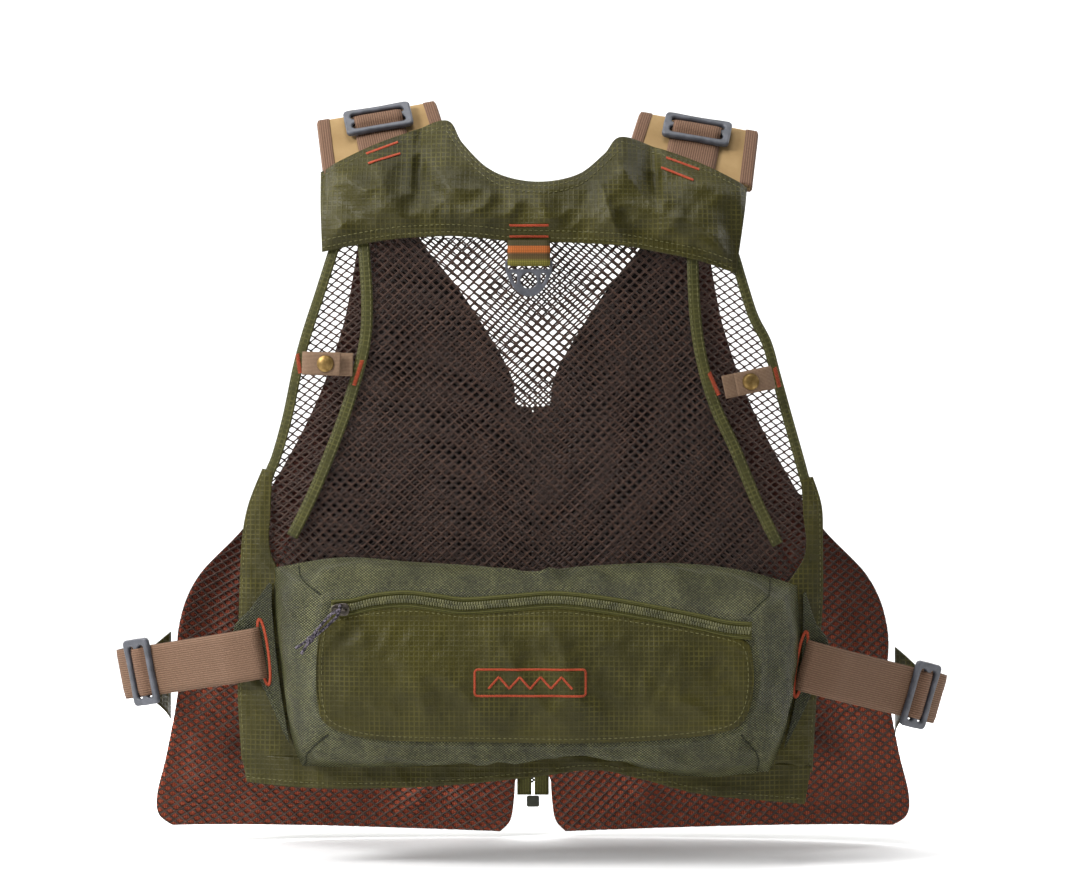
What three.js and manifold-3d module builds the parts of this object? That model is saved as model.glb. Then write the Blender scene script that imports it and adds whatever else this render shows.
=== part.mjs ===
// A fly fisher's mesh vest with a back pocket, drawn in millimetres.
// +Z is up, +Y is the way the wearer faces and +X is to the wearer's right.
// The origin is at the base of the neck, between the tops of the two shoulder pads.
import * as THREE from "three";
import { mergeVertices } from "three/addons/utils/BufferGeometryUtils.js";
import Module from "manifold-3d";

const wasm = await Module();
wasm.setup();

// ---- Driving dimensions ------------------------------------------------------------------

const CLOTH = 1.2; // thickness of every fabric layer
const LAYER = 2.2; // pitch from one fabric layer to the next
const GAP = 0.4; // clearance between hard pieces that touch on the real vest

// The wearer's torso: how far the cloth stands behind or before the shoulder line, by height.
const BACK_DEPTH = [
  [-560, 104],
  [-430, 98],
  [-320, 100],
  [-220, 108],
  [-120, 112],
  [-70, 104],
  [-35, 86],
  [0, 58],
  [20, 40],
];
const FRONT_DEPTH = [
  [-560, 98],
  [-200, 106],
  [-150, 101],
  [-90, 84],
  [-40, 60],
  [0, 40],
];
const BACK_HALF_WIDTH = 285;
const FRONT_HALF_WIDTH = 310;
const ROUNDNESS = 2.3; // exponent of the torso's cross-section

const WEBBING_WIDTH = 38;
const WEBBING = 1.6; // thickness
const PAD_THICKNESS = 7;
const PAD_BACK_WIDTH = 96;
const PAD_FRONT_WIDTH = 74;
const SHOULDER_ROLL = THREE.MathUtils.degToRad(10); // the outer edge of each pad is the lower one
const SHOULDER_YAW = THREE.MathUtils.degToRad(4); // the pads splay towards the front

const SLIDER_WIDTH = 50; // tri-glide buckle for 38 mm webbing
const SLIDER_LENGTH = 27;
const SLIDER_THICKNESS = 3;

const POCKET_FACE_Y = -130; // plane of the back pocket's face and of its zip
const ZIP_TAPE = 15;
const ZIP_COIL = 6.5;
const COIL_HEIGHT = 1.8; // above its tape
const SNAP_RADIUS = 6.2;

// ---- Colours -----------------------------------------------------------------------------

const material = (colour, roughness, metalness = 0) =>
  new THREE.MeshStandardMaterial({ color: colour, roughness, metalness });
const RIPSTOP = material(0x3d4424, 0.7);
const SAGE = material(0x5d6650, 0.75);
const MESH = material(0x33241f, 0.85);
const TAN = material(0xa08a55, 0.8);
const WEB = material(0x76604f, 0.85);
const LOOP_WEB = material(0x8a6a26, 0.85);
const GREY_PLASTIC = material(0x54585f, 0.45);
const BRASS = material(0x9a7b3c, 0.35, 1);
const GUNMETAL = material(0x35363a, 0.35, 1);
const ZIP_GREEN = material(0x4f5a2a, 0.7);
const CORD = material(0x45424e, 0.8);

const vest = new THREE.Group();

function add(name, geometry, colour, parent = vest) {
  const mesh = new THREE.Mesh(geometry, colour);
  mesh.name = name;
  parent.add(mesh);
  return mesh;
}

// ---- The torso's two surfaces ------------------------------------------------------------

function along(profile, z) {
  const next = profile.findIndex(([height]) => height >= z);
  if (next === 0) return profile[0][1];
  if (next < 0) return profile[profile.length - 1][1];
  const [z0, d0] = profile[next - 1];
  const [z1, d1] = profile[next];
  return d0 + ((d1 - d0) * (z - z0)) / (z1 - z0);
}

// The profile is averaged over this reach, so that its corners are rounded.
const SMOOTHING = [-16, -8, 0, 8, 16];
const depth = (profile, z) =>
  SMOOTHING.reduce((sum, dz) => sum + along(profile, z + dz), 0) / SMOOTHING.length;

function section(x, halfWidth) {
  const u = Math.min(Math.abs(x) / halfWidth, 1);
  return (1 - u ** ROUNDNESS) ** (1 / ROUNDNESS);
}

const backY = (x, z) => -depth(BACK_DEPTH, z) * section(x, BACK_HALF_WIDTH);
const frontY = (x, z) => depth(FRONT_DEPTH, z) * section(x, FRONT_HALF_WIDTH);

// A place on fabric layer n of the back or the front. Layer 0 lies next to the wearer.
const onBack = (layer) => (x, z, extra) => [x, backY(x, z) - layer * LAYER - extra, z];
const onFront = (layer) => (x, z, extra) => [x, frontY(x, z) + layer * LAYER + extra, z];

// ---- Solids from grids of points ---------------------------------------------------------

// A closed solid between two grids of points, outer[row][column] and inner[row][column].
// With closed true, each row runs round in a loop and the solid is a band.
function slab(outer, inner, closed = false) {
  const rows = outer.length;
  const columns = outer[0].length;
  const positions = new Float32Array([...outer, ...inner].flat(2));
  const at = (side, row, column) => (side * rows + row) * columns + (column % columns);
  const faces = [];
  const quad = (a, b, c, d) => faces.push(a, b, c, a, c, d);
  const spans = closed ? columns : columns - 1;
  for (let row = 0; row < rows - 1; row++)
    for (let column = 0; column < spans; column++) {
      const corners = [
        [row, column],
        [row, column + 1],
        [row + 1, column + 1],
        [row + 1, column],
      ];
      quad(...corners.map(([r, c]) => at(0, r, c)));
      quad(...corners.reverse().map(([r, c]) => at(1, r, c)));
    }
  const wall = (r0, c0, r1, c1) =>
    quad(at(0, r1, c1), at(0, r0, c0), at(1, r0, c0), at(1, r1, c1));
  for (let column = 0; column < spans; column++) {
    wall(0, column, 0, column + 1);
    wall(rows - 1, column + 1, rows - 1, column);
  }
  if (!closed)
    for (let row = 0; row < rows - 1; row++) {
      wall(row + 1, 0, row, 0);
      wall(row, columns - 1, row + 1, columns - 1);
    }
  const geometry = new THREE.BufferGeometry();
  geometry.setAttribute("position", new THREE.BufferAttribute(positions, 3));
  geometry.setIndex(faces);
  return facingOut(geometry);
}

function facingOut(geometry) {
  const p = geometry.getAttribute("position");
  const index = geometry.getIndex().array;
  const [a, b, c] = [new THREE.Vector3(), new THREE.Vector3(), new THREE.Vector3()];
  let volume = 0;
  for (let i = 0; i < index.length; i += 3) {
    a.fromBufferAttribute(p, index[i]);
    b.fromBufferAttribute(p, index[i + 1]);
    c.fromBufferAttribute(p, index[i + 2]);
    volume += a.dot(b.cross(c));
  }
  if (volume < 0)
    for (let i = 0; i < index.length; i += 3)
      [index[i + 1], index[i + 2]] = [index[i + 2], index[i + 1]];
  return geometry;
}

// The points of a smooth edge through [x, z] pairs, "per" steps from each pair to the next.
function edge(pairs, per = 1) {
  const curve = new THREE.SplineCurve(pairs.map(([x, z]) => new THREE.Vector2(x, z)));
  const steps = (pairs.length - 1) * per;
  return Array.from({ length: steps + 1 }, (_, i) => curve.getPoint(i / steps));
}

const shift = (pairs, dx, dz = 0) => pairs.map(([x, z]) => [x + dx, z + dz]);
const mirrored = (pairs, side) => pairs.map(([x, z]) => [x * side, z]);

// A piece of cloth spanned between two edges, laid on a surface.
function cloth(first, second, columns, place, options = {}) {
  const { per = 1, bulge = () => 0 } = options;
  const from = edge(first, per);
  const to = edge(second, per);
  const sheet = (extra) =>
    from.map((a, row) =>
      Array.from({ length: columns + 1 }, (_, column) => {
        const s = column / columns;
        const x = a.x + (to[row].x - a.x) * s;
        const z = a.y + (to[row].y - a.y) * s;
        return place(x, z, extra + bulge(s, row / (from.length - 1)));
      }),
    );
  return slab(sheet(CLOTH), sheet(0));
}

// A tape of one width along a centre line, laid on a surface.
function tape(centre, width, place, per = 1) {
  const half = width / 2;
  const line = edge(centre, 1);
  const sides = [-half, half].map((offset) =>
    line.map((p, i) => {
      const before = line[Math.max(i - 1, 0)];
      const after = line[Math.min(i + 1, line.length - 1)];
      const normal = after.clone().sub(before).normalize();
      return [p.x - normal.y * offset, p.y + normal.x * offset];
    }),
  );
  return cloth(sides[0], sides[1], 1, place, { per });
}

// A strip that follows a path of [u, v] pairs, extruded by its width about the middle.
// axes says which way u, v and the width run.
function strip(path, thickness, width, axes) {
  const half = thickness / 2;
  const normals = path.map((_, i) => {
    const [u0, v0] = path[Math.max(i - 1, 0)];
    const [u1, v1] = path[Math.min(i + 1, path.length - 1)];
    return new THREE.Vector2(v0 - v1, u1 - u0).normalize();
  });
  const side = (sign) =>
    path.map(([u, v], i) => new THREE.Vector2(u, v).addScaledVector(normals[i], sign * half));
  const shape = new THREE.Shape([...side(-1), ...side(1).reverse()]);
  return new THREE.ExtrudeGeometry(shape, { depth: width, bevelEnabled: false })
    .translate(0, 0, -width / 2)
    .applyMatrix4(new THREE.Matrix4().makeBasis(...axes));
}

const X = new THREE.Vector3(1, 0, 0);
const Y = new THREE.Vector3(0, 1, 0);
const Z = new THREE.Vector3(0, 0, 1);
const SIDEWAYS = [Y, Z, X]; // a path in the YZ plane, its width along X

function roundedRect(shape, width, height, radius, cx = 0, cy = 0) {
  const [w, h] = [width / 2, height / 2];
  shape.moveTo(cx - w + radius, cy - h);
  shape.lineTo(cx + w - radius, cy - h);
  shape.absarc(cx + w - radius, cy - h + radius, radius, -Math.PI / 2, 0);
  shape.absarc(cx + w - radius, cy + h - radius, radius, 0, Math.PI / 2);
  shape.absarc(cx - w + radius, cy + h - radius, radius, Math.PI / 2, Math.PI);
  shape.absarc(cx - w + radius, cy - h + radius, radius, Math.PI, 1.5 * Math.PI);
  return shape;
}

function circle(radius, corners, cx = 0, cy = 0) {
  const angles = Array.from({ length: corners }, (_, i) => (2 * Math.PI * i) / corners);
  return angles.map(
    (a) => new THREE.Vector2(cx + radius * Math.cos(a), cy + radius * Math.sin(a)),
  );
}

const plate = (shape, thickness) =>
  new THREE.ExtrudeGeometry(shape, { depth: thickness, bevelEnabled: false, curveSegments: 2 });

// ---- Booleans ----------------------------------------------------------------------------

function manifold(geometry) {
  const bare = new THREE.BufferGeometry();
  bare.setAttribute("position", geometry.getAttribute("position"));
  bare.setIndex(geometry.getIndex());
  const merged = mergeVertices(bare, 1e-4);
  const mesh = { numProp: 3, vertProperties: merged.attributes.position.array };
  return new wasm.Manifold(
    new wasm.Mesh({ ...mesh, triVerts: new Uint32Array(merged.index.array) }),
  );
}

function geometryOf(solid) {
  const { numProp, vertProperties, triVerts } = solid.getMesh();
  const vertices = new Float32Array((vertProperties.length / numProp) * 3);
  for (let i = 0; i < vertices.length / 3; i++)
    vertices.set(vertProperties.subarray(i * numProp, i * numProp + 3), i * 3);
  const geometry = new THREE.BufferGeometry();
  geometry.setAttribute("position", new THREE.BufferAttribute(vertices, 3));
  geometry.setIndex(new THREE.BufferAttribute(triVerts, 1));
  return geometry;
}

const join = (...geometries) =>
  geometryOf(geometries.map(manifold).reduce((all, next) => all.add(next)));
const cut = (geometry, tool) => geometryOf(manifold(geometry).subtract(manifold(tool)));

// ---- Back: mesh body, yoke, tapes and side panels ----------------------------------------

// Each seam runs from the yoke down to a top corner of the back pocket.
const LEFT_SEAM = [
  [-124, -90],
  [-121, -137],
  [-123, -170],
  [-134, -210],
  [-147, -245],
  [-162, -280],
  [-177, -310],
  [-188, -332],
];
const RIGHT_SEAM = [
  [116, -96],
  [118, -145],
  [123, -180],
  [133, -214],
  [148, -246],
  [164, -284],
  [180, -316],
  [195, -339],
];
const LEFT_ARMHOLE = [
  [-143, -92],
  [-155, -130],
  [-165, -160],
  [-172, -185],
  [-180, -222],
  [-188, -250],
  [-196, -275],
  [-196, -318],
];
const RIGHT_ARMHOLE = [
  [147, -104],
  [160, -146],
  [171, -168],
  [178, -192],
  [186, -220],
  [196, -254],
  [204, -280],
  [202, -326],
];
const SEAM_CLEARANCE = 1.5;

function backBody() {
  const liningLeft = [[-124, -75], ...LEFT_SEAM.slice(1), [-186, -400], [-172, -470]];
  const liningRight = [[116, -85], ...RIGHT_SEAM.slice(1), [190, -400], [174, -470]];
  add("back_lining", cloth(liningLeft, liningRight, 14, onBack(0)), MESH);
  const meshLeft = shift(LEFT_SEAM, SEAM_CLEARANCE);
  const meshRight = shift(RIGHT_SEAM, -SEAM_CLEARANCE);
  add("back_mesh_panel", cloth(meshLeft, meshRight, 14, onBack(1)), MESH);
  const leftSide = cloth(LEFT_ARMHOLE, shift(LEFT_SEAM, -SEAM_CLEARANCE), 3, onBack(1));
  add("left_side_mesh", leftSide, MESH);
  const rightSide = cloth(shift(RIGHT_SEAM, SEAM_CLEARANCE), RIGHT_ARMHOLE, 3, onBack(1));
  add("right_side_mesh", rightSide, MESH);
}

function yoke() {
  const top = [
    [-157, -41],
    [-122, -23],
    [-92, -11],
    [-64, -2],
    [-52, -20],
    [-34, -39],
    [-14, -48],
    [10, -50],
    [34, -44],
    [52, -29],
    [66, -15],
    [100, -26],
    [130, -38],
    [158, -53],
  ];
  const bottom = [
    [-154, -102],
    [-128, -97],
    [-102, -93],
    [-78, -91.5],
    [-58, -91],
    [-38, -92.5],
    [-16, -95],
    [8, -95.5],
    [30, -96],
    [52, -97],
    [72, -99],
    [96, -103.5],
    [122, -109],
    [148, -118],
  ];
  add("back_yoke", cloth(top, bottom, 5, onBack(3)), RIPSTOP);
}

function tapes() {
  const seamTape = 8.5;
  const binding = 7.5;
  add("left_seam_tape", tape(LEFT_SEAM.slice(0, -1), seamTape, onBack(2)), RIPSTOP);
  add("right_seam_tape", tape(RIGHT_SEAM.slice(0, -1), seamTape, onBack(2)), RIPSTOP);
  const left = [...LEFT_ARMHOLE.slice(0, -2), [-194, -262]];
  const right = [...RIGHT_ARMHOLE.slice(0, -2), [201, -268]];
  add("left_armhole_binding", tape(left, binding, onBack(2)), RIPSTOP);
  add("right_armhole_binding", tape(right, binding, onBack(2)), RIPSTOP);
}

function sidePanels() {
  const leftOuter = [
    [-201, -267],
    [-210, -289],
    [-215, -314],
    [-217, -357],
    [-218, -400],
    [-218, -432],
    [-215, -471],
  ];
  const leftInner = [
    [-197, -269],
    [-195, -292],
    [-193, -322],
    [-178, -352],
    [-174, -400],
    [-170, -432],
    [-165, -472],
  ];
  const rightOuter = [
    [207, -273],
    [212, -290],
    [214, -315],
    [214, -357],
    [211, -400],
    [209, -432],
    [206, -480],
  ];
  const rightInner = [
    [203, -275],
    [201, -296],
    [200, -324],
    [180, -358],
    [176, -400],
    [172, -432],
    [165, -476],
  ];
  add("left_back_side_panel", cloth(leftOuter, leftInner, 3, onBack(2)), RIPSTOP);
  add("right_back_side_panel", cloth(rightInner, rightOuter, 3, onBack(2)), RIPSTOP);
}

function hemBand() {
  const top = [
    [-215, -474],
    [-171, -476],
    [-120, -474],
    [-60, -470],
    [0, -464],
    [45, -460],
    [80, -472],
    [122, -480],
    [173, -480],
    [205, -483],
  ];
  const bottom = [
    [-211, -491],
    [-171, -494],
    [-120, -494],
    [-60, -491],
    [0, -485],
    [45, -480],
    [80, -487],
    [122, -498],
    [173, -504],
    [200, -507],
  ];
  add("back_hem_band", cloth(top, bottom, 1, onBack(2), { per: 2 }), RIPSTOP);
}

// ---- Back pocket -------------------------------------------------------------------------

// Where the gusset is sewn to the back, and where it meets the face, corner for corner.
const POCKET_BASE = [
  [-190, -333],
  [-140, -325],
  [-90, -328],
  [-40, -331],
  [0, -335],
  [40, -331],
  [100, -329],
  [150, -334],
  [195, -346],
  [197, -395],
  [187, -450],
  [173, -484],
  [122, -486],
  [80, -479],
  [45, -468],
  [0, -470],
  [-60, -476],
  [-120, -479],
  [-170, -479],
  [-179, -450],
  [-186, -400],
  [-190, -362],
];
const POCKET_RIM = [
  [-151, -353],
  [-110, -350],
  [-75, -349],
  [-38, -350],
  [0, -351],
  [34, -353],
  [63, -356],
  [107, -360],
  [154, -368],
  [164, -400],
  [161, -430],
  [150, -452],
  [121, -458],
  [80, -459],
  [45, -459],
  [0, -459],
  [-60, -457],
  [-110, -454],
  [-144, -449],
  [-155, -436],
  [-157, -412],
  [-155, -382],
];
const ZIP_START = [-146, -361];
const ZIP_END = [158, -377];

function backPocket() {
  const centre = [5, -404];
  const wall = 1 - CLOTH / 70; // shrinking the loops by this much leaves a wall one cloth thick
  const base = (x, z) => onBack(3)(x, z, 0);
  const rim = (x, z) => [x, POCKET_FACE_Y, z];
  const steps = 3;
  const grid = (scale) =>
    Array.from({ length: steps + 1 }, (_, row) =>
      POCKET_BASE.map((pair, i) => {
        const inwards = ([x, z]) => [
          centre[0] + (x - centre[0]) * scale,
          centre[1] + (z - centre[1]) * scale,
        ];
        const a = base(...inwards(pair));
        const b = rim(...inwards(POCKET_RIM[i]));
        return a.map((value, k) => value + ((b[k] - value) * row) / steps);
      }),
    );
  add("back_pocket_gusset", slab(grid(1), grid(wall), true), SAGE);

  const left = [
    [-153, -370.5],
    [-156, -392],
    [-156, -421],
    [-150, -441],
    [-136, -450],
  ];
  const right = [
    [158, -387],
    [163, -404],
    [161, -426],
    [152, -446],
    [138, -455.5],
  ];
  const crown = (s, t) => 4 * Math.sin(Math.PI * s) * Math.sin(Math.PI * t);
  const onFace = (x, z, extra) => [x, POCKET_FACE_Y - GAP - extra, z];
  add("back_pocket_face", cloth(left, right, 8, onFace, { per: 2, bulge: crown }), RIPSTOP);
}

// A zip laid in a group whose X runs along it, whose Z is up the face and whose -Y faces out.
function zipChain(name, length, group) {
  const tapes = new THREE.BoxGeometry(length, CLOTH, ZIP_TAPE);
  tapes.translate(length / 2, -CLOTH / 2, 0);
  const coil = new THREE.BoxGeometry(length, CLOTH + COIL_HEIGHT, ZIP_COIL);
  coil.translate(length / 2, -(CLOTH + COIL_HEIGHT) / 2, 0);
  add(name, join(tapes, coil), ZIP_GREEN, group);
}

// The slider's plate rides on the coil, under a bridge that the pull hangs from.
const SLIDER_BASE = CLOTH + COIL_HEIGHT + GAP; // the slider's underside above the tape's back
const BAR_HEIGHT = 6.4; // middle of the bridge's bar above the slider's underside
const BRIDGE_WIDTH = 1.8;
function zipSlider(name, at, group) {
  const outline = new THREE.Shape([
    new THREE.Vector2(-6.5, -3),
    new THREE.Vector2(3, -5),
    new THREE.Vector2(6.5, -3.4),
    new THREE.Vector2(6.5, 3.4),
    new THREE.Vector2(3, 5),
    new THREE.Vector2(-6.5, 3),
  ]);
  const body = plate(outline, 2);
  const arch = new THREE.Shape([
    new THREE.Vector2(-5, 1),
    new THREE.Vector2(-5, 4.8),
    new THREE.Vector2(-3.6, 7),
    new THREE.Vector2(3.6, 7),
    new THREE.Vector2(5, 4.8),
    new THREE.Vector2(5, 1),
    new THREE.Vector2(3.4, 1),
    new THREE.Vector2(3.4, 5),
    new THREE.Vector2(2.6, 5.8),
    new THREE.Vector2(-2.6, 5.8),
    new THREE.Vector2(-3.4, 5),
    new THREE.Vector2(-3.4, 1),
  ]);
  const bridge = plate(arch, BRIDGE_WIDTH).translate(0, 0, -BRIDGE_WIDTH / 2).rotateX(Math.PI / 2);
  const slider = add(name, join(body, bridge).rotateX(Math.PI / 2), GUNMETAL, group);
  slider.position.set(at, -SLIDER_BASE, 0);
  return slider;
}

// A cord under the bridge, knotted below it: two strands, the knot and two tails.
// In the pull's own frame -Z is along it, X is across it and -Y faces out. The loop turns about
// the bridge's bar, or is a bail round the bridge's foot where the zip itself runs down.
const CORD_RADIUS = 1.1;
const CORD_LOOP = 30;
const LOOP_RADIUS = 2.8;
const KNOT_RADIUS = 2.6;
const TURN_ABOUT_BAR = Array.from({ length: 7 }, (_, i) => (Math.PI * i) / 6).map((a) => [
  0,
  LOOP_RADIUS * Math.cos(a),
  LOOP_RADIUS * Math.sin(a),
]);
const LOOP_ROUND_BAR = {
  behind: [[1.6, 1.4, -18], [2, 2.4, -6]],
  turn: TURN_ABOUT_BAR,
  before: [[-2, -2.2, -6], [-1.6, -0.6, -18]],
};
const LOOP_AS_BAIL = {
  behind: [[2.2, 1.6, -16]],
  turn: [[3, 2.3, -6], [2.7, 2.3, -1], [0, 2.3, 0.6], [-2.7, 2.3, -1], [-3, 2.3, -6]],
  before: [[-2.2, 1.6, -16]],
};

// The pull is turned as a whole, and below its loop it leans sideways as well.
function cordPull(name, slider, group, { turn = 0, lean = 0, loop = LOOP_ROUND_BAR }) {
  const ring = new THREE.Shape(circle(CORD_RADIUS, 8));
  const leaning = (points) => points.map((p) => new THREE.Vector3(...p).applyAxisAngle(Y, lean));
  const upright = (points) => points.map((p) => new THREE.Vector3(...p));
  const tube = (points) => {
    const curve = new THREE.CatmullRomCurve3(points);
    const steps = 3 * (points.length - 1);
    return new THREE.ExtrudeGeometry(ring, { extrudePath: curve, steps, curveSegments: 4 });
  };
  const strands = tube([
    ...leaning([[0.6, 0.6, -CORD_LOOP], ...loop.behind]),
    ...upright(loop.turn),
    ...leaning([...loop.before, [-0.6, 0, -CORD_LOOP]]),
  ]);
  const [knotAt] = leaning([[0, 0.2, -CORD_LOOP - 0.5]]);
  const knot = new THREE.SphereGeometry(KNOT_RADIUS, 8, 6).translate(...knotAt);
  const tail = (x) =>
    tube(leaning([[x * 0.2, 0.2, -CORD_LOOP - 1], [x * 1.8, 0.2, -CORD_LOOP - 12]]));
  const pull = add(name, join(strands, knot, tail(1.6), tail(-1.6)), CORD, group);
  pull.position.copy(slider.position).add(new THREE.Vector3(0, -BAR_HEIGHT, 0));
  pull.rotation.y = turn;
}

function backZip() {
  const [x0, z0] = ZIP_START;
  const [x1, z1] = ZIP_END;
  const group = new THREE.Group();
  group.position.set(x0, POCKET_FACE_Y - GAP, z0);
  group.rotation.y = Math.atan2(z0 - z1, x1 - x0);
  vest.add(group);
  zipChain("back_zip", Math.hypot(x1 - x0, z1 - z0), group);
  const slider = zipSlider("back_zip_slider", 7, group);
  cordPull("back_zip_pull", slider, group, { lean: THREE.MathUtils.degToRad(42) });
}

// ---- Side straps -------------------------------------------------------------------------

const SLOT_HEIGHT = 48;
const SLOTS = {
  left: { x: -198, z: -395, lean: 8, drop: 11 },
  right: { x: 197, z: -404, lean: 9.6, drop: 16 },
};

function strapTabs() {
  const leftInner = [
    [-192, -345],
    [-191.5, -365],
    [-188, -400],
    [-184, -430],
    [-178.5, -462],
  ];
  const leftOuter = [
    [-194, -344],
    [-207, -362],
    [-221, -381],
    [-203, -412],
    [-182, -456],
  ];
  const rightInner = [
    [198.5, -352],
    [198.5, -372],
    [197.5, -400],
    [191.5, -436],
    [184, -466],
  ];
  const rightOuter = [
    [200.5, -351],
    [208, -373],
    [218, -392],
    [204, -428],
    [187, -461],
  ];
  const slot = ({ x, z, lean }, side) => {
    const box = new THREE.BoxGeometry(3.6, 40, SLOT_HEIGHT);
    box.rotateY(-side * THREE.MathUtils.degToRad(lean));
    return box.translate(x, backY(x, z), z);
  };
  const left = cloth(leftOuter, leftInner, 3, onBack(3), { per: 2 });
  add("left_strap_tab", cut(left, slot(SLOTS.left, 1)), SAGE);
  const right = cloth(rightInner, rightOuter, 3, onBack(3), { per: 2 });
  add("right_strap_tab", cut(right, slot(SLOTS.right, -1)), SAGE);
}

// Tri-glide: two outer bars and a middle bar, with the roll of webbing that it carries.
// In its own frame X is across the webbing, Y along it and Z away from it.
function triGlide(name, parent) {
  const shape = roundedRect(new THREE.Shape(), SLIDER_WIDTH, SLIDER_LENGTH, 4);
  for (const side of [-1, 1]) {
    const hole = roundedRect(new THREE.Path(), SLIDER_WIDTH - 9, 7.4, 1, 0, side * 5.8);
    shape.holes.push(hole);
  }
  const roll = [
    [-7.4, 1],
    [-4.6, 2.4],
    [-2, 3.5],
    [2, 3.5],
    [4.6, 2.4],
    [7.4, 1],
  ];
  const rollStrip = strip(roll, 1.3, WEBBING_WIDTH - 2, [Y, Z, X]);
  add(name, join(plate(shape, SLIDER_THICKNESS), rollStrip), GREY_PLASTIC, parent);
}

// The strap's path in plan, as [distance out from its slot, y]. It rises out of the slot,
// runs straight under its tri-glide, folds at its end and is sewn to the wing.
const STRAP_STRAIGHT_FROM = [26, -83];
const STRAP_STRAIGHT_TO = [112, -11];
const STRAP_PATH = [
  [0.3, -86.2],
  [2.6, -89.6],
  [8, -90.5],
  STRAP_STRAIGHT_FROM,
  STRAP_STRAIGHT_TO,
  [116.5, -5],
  [117.5, 1],
  [115, 7],
  [108, 19],
  [101, 31],
];
const SIDE_SLIDER_AT = 93; // distance of the tri-glide from the start of the straight stretch

function sideStrap(name, side) {
  const { x, z, drop } = SLOTS[name];
  const group = new THREE.Group();
  group.position.set(x, 0, z);
  group.rotation.y = side * THREE.MathUtils.degToRad(drop);
  vest.add(group);
  const path = STRAP_PATH.map(([out, y]) => [side * out, y]);
  add(name + "_side_strap", strip(path, WEBBING, WEBBING_WIDTH, [X, Y, Z]), WEB, group);

  const from = new THREE.Vector3(side * STRAP_STRAIGHT_FROM[0], STRAP_STRAIGHT_FROM[1], 0);
  const to = new THREE.Vector3(side * STRAP_STRAIGHT_TO[0], STRAP_STRAIGHT_TO[1], 0);
  const out = to.clone().sub(from).normalize();
  const away = new THREE.Vector3(out.y * side, -out.x * side, 0);
  const slider = new THREE.Group();
  const across = new THREE.Vector3().crossVectors(out, away);
  slider.quaternion.setFromRotationMatrix(new THREE.Matrix4().makeBasis(across, out, away));
  slider.position.copy(from).addScaledVector(out, SIDE_SLIDER_AT);
  slider.position.addScaledVector(away, WEBBING / 2 + GAP);
  group.add(slider);
  triGlide(name + "_side_slider", slider);
}

// ---- Shoulders ---------------------------------------------------------------------------

// The top of the pad as [y, z], from under the yoke, over the shoulder, to the front panel.
const PAD_STRAIGHT_FROM = [-74, -43];
const PAD_STRAIGHT_TO = [-36, -3.1];
const PAD_PATH = [
  PAD_STRAIGHT_FROM,
  PAD_STRAIGHT_TO,
  [-26, 0.8],
  [-10, 1.4],
  [12, 0],
  [32, -6],
  [52, -18],
  [68, -37],
  [79, -58],
  [85, -78],
];
const SHOULDERS = {
  left: { x: -120, z: 7 },
  right: { x: 127, z: -1 },
};
const SHOULDER_SLIDER_AT = 46; // distance of the tri-glide from the pad's back end

// The pad's path moved away from the pad by a distance, as [y, z] pairs.
function padPath(distance) {
  return PAD_PATH.map(([y, z], i) => {
    const [y0, z0] = PAD_PATH[Math.max(i - 1, 0)];
    const [y1, z1] = PAD_PATH[Math.min(i + 1, PAD_PATH.length - 1)];
    const length = Math.hypot(y1 - y0, z1 - z0);
    return [y - ((z1 - z0) / length) * distance, z + ((y1 - y0) / length) * distance];
  });
}

function shoulderPad() {
  const last = PAD_PATH.length - 1;
  const half = (i) => (PAD_BACK_WIDTH + ((PAD_FRONT_WIDTH - PAD_BACK_WIDTH) * i) / last) / 2;
  const grid = (height) =>
    padPath(height).map(([y, z], i) => [-1, 1].map((edgeSign) => [edgeSign * half(i), y, z]));
  return slab(grid(0), grid(-PAD_THICKNESS));
}

function shoulder(name, side) {
  const { x, z } = SHOULDERS[name];
  const group = new THREE.Group();
  group.position.set(x, 0, z);
  group.rotation.set(0, side * SHOULDER_ROLL, -side * SHOULDER_YAW);
  vest.add(group);
  add(name + "_shoulder_pad", shoulderPad(), TAN, group);
  const middle = GAP + WEBBING / 2;
  const webbing = strip(padPath(middle), WEBBING, WEBBING_WIDTH, SIDEWAYS);
  add(name + "_shoulder_webbing", webbing, WEB, group);

  const from = new THREE.Vector3(0, ...PAD_STRAIGHT_FROM);
  const up = new THREE.Vector3(0, ...PAD_STRAIGHT_TO).sub(from).normalize();
  const away = new THREE.Vector3(0, -up.z, up.y);
  const slider = new THREE.Group();
  slider.quaternion.setFromRotationMatrix(new THREE.Matrix4().makeBasis(X, up, away));
  slider.position.copy(from).addScaledVector(up, SHOULDER_SLIDER_AT);
  slider.position.addScaledVector(away, WEBBING + 2 * GAP + 0.8);
  group.add(slider);
  triGlide(name + "_shoulder_slider", slider);
}

// ---- Net ring ----------------------------------------------------------------------------

const RING = { x: -3, z: -109, y: -122.2 };

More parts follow.
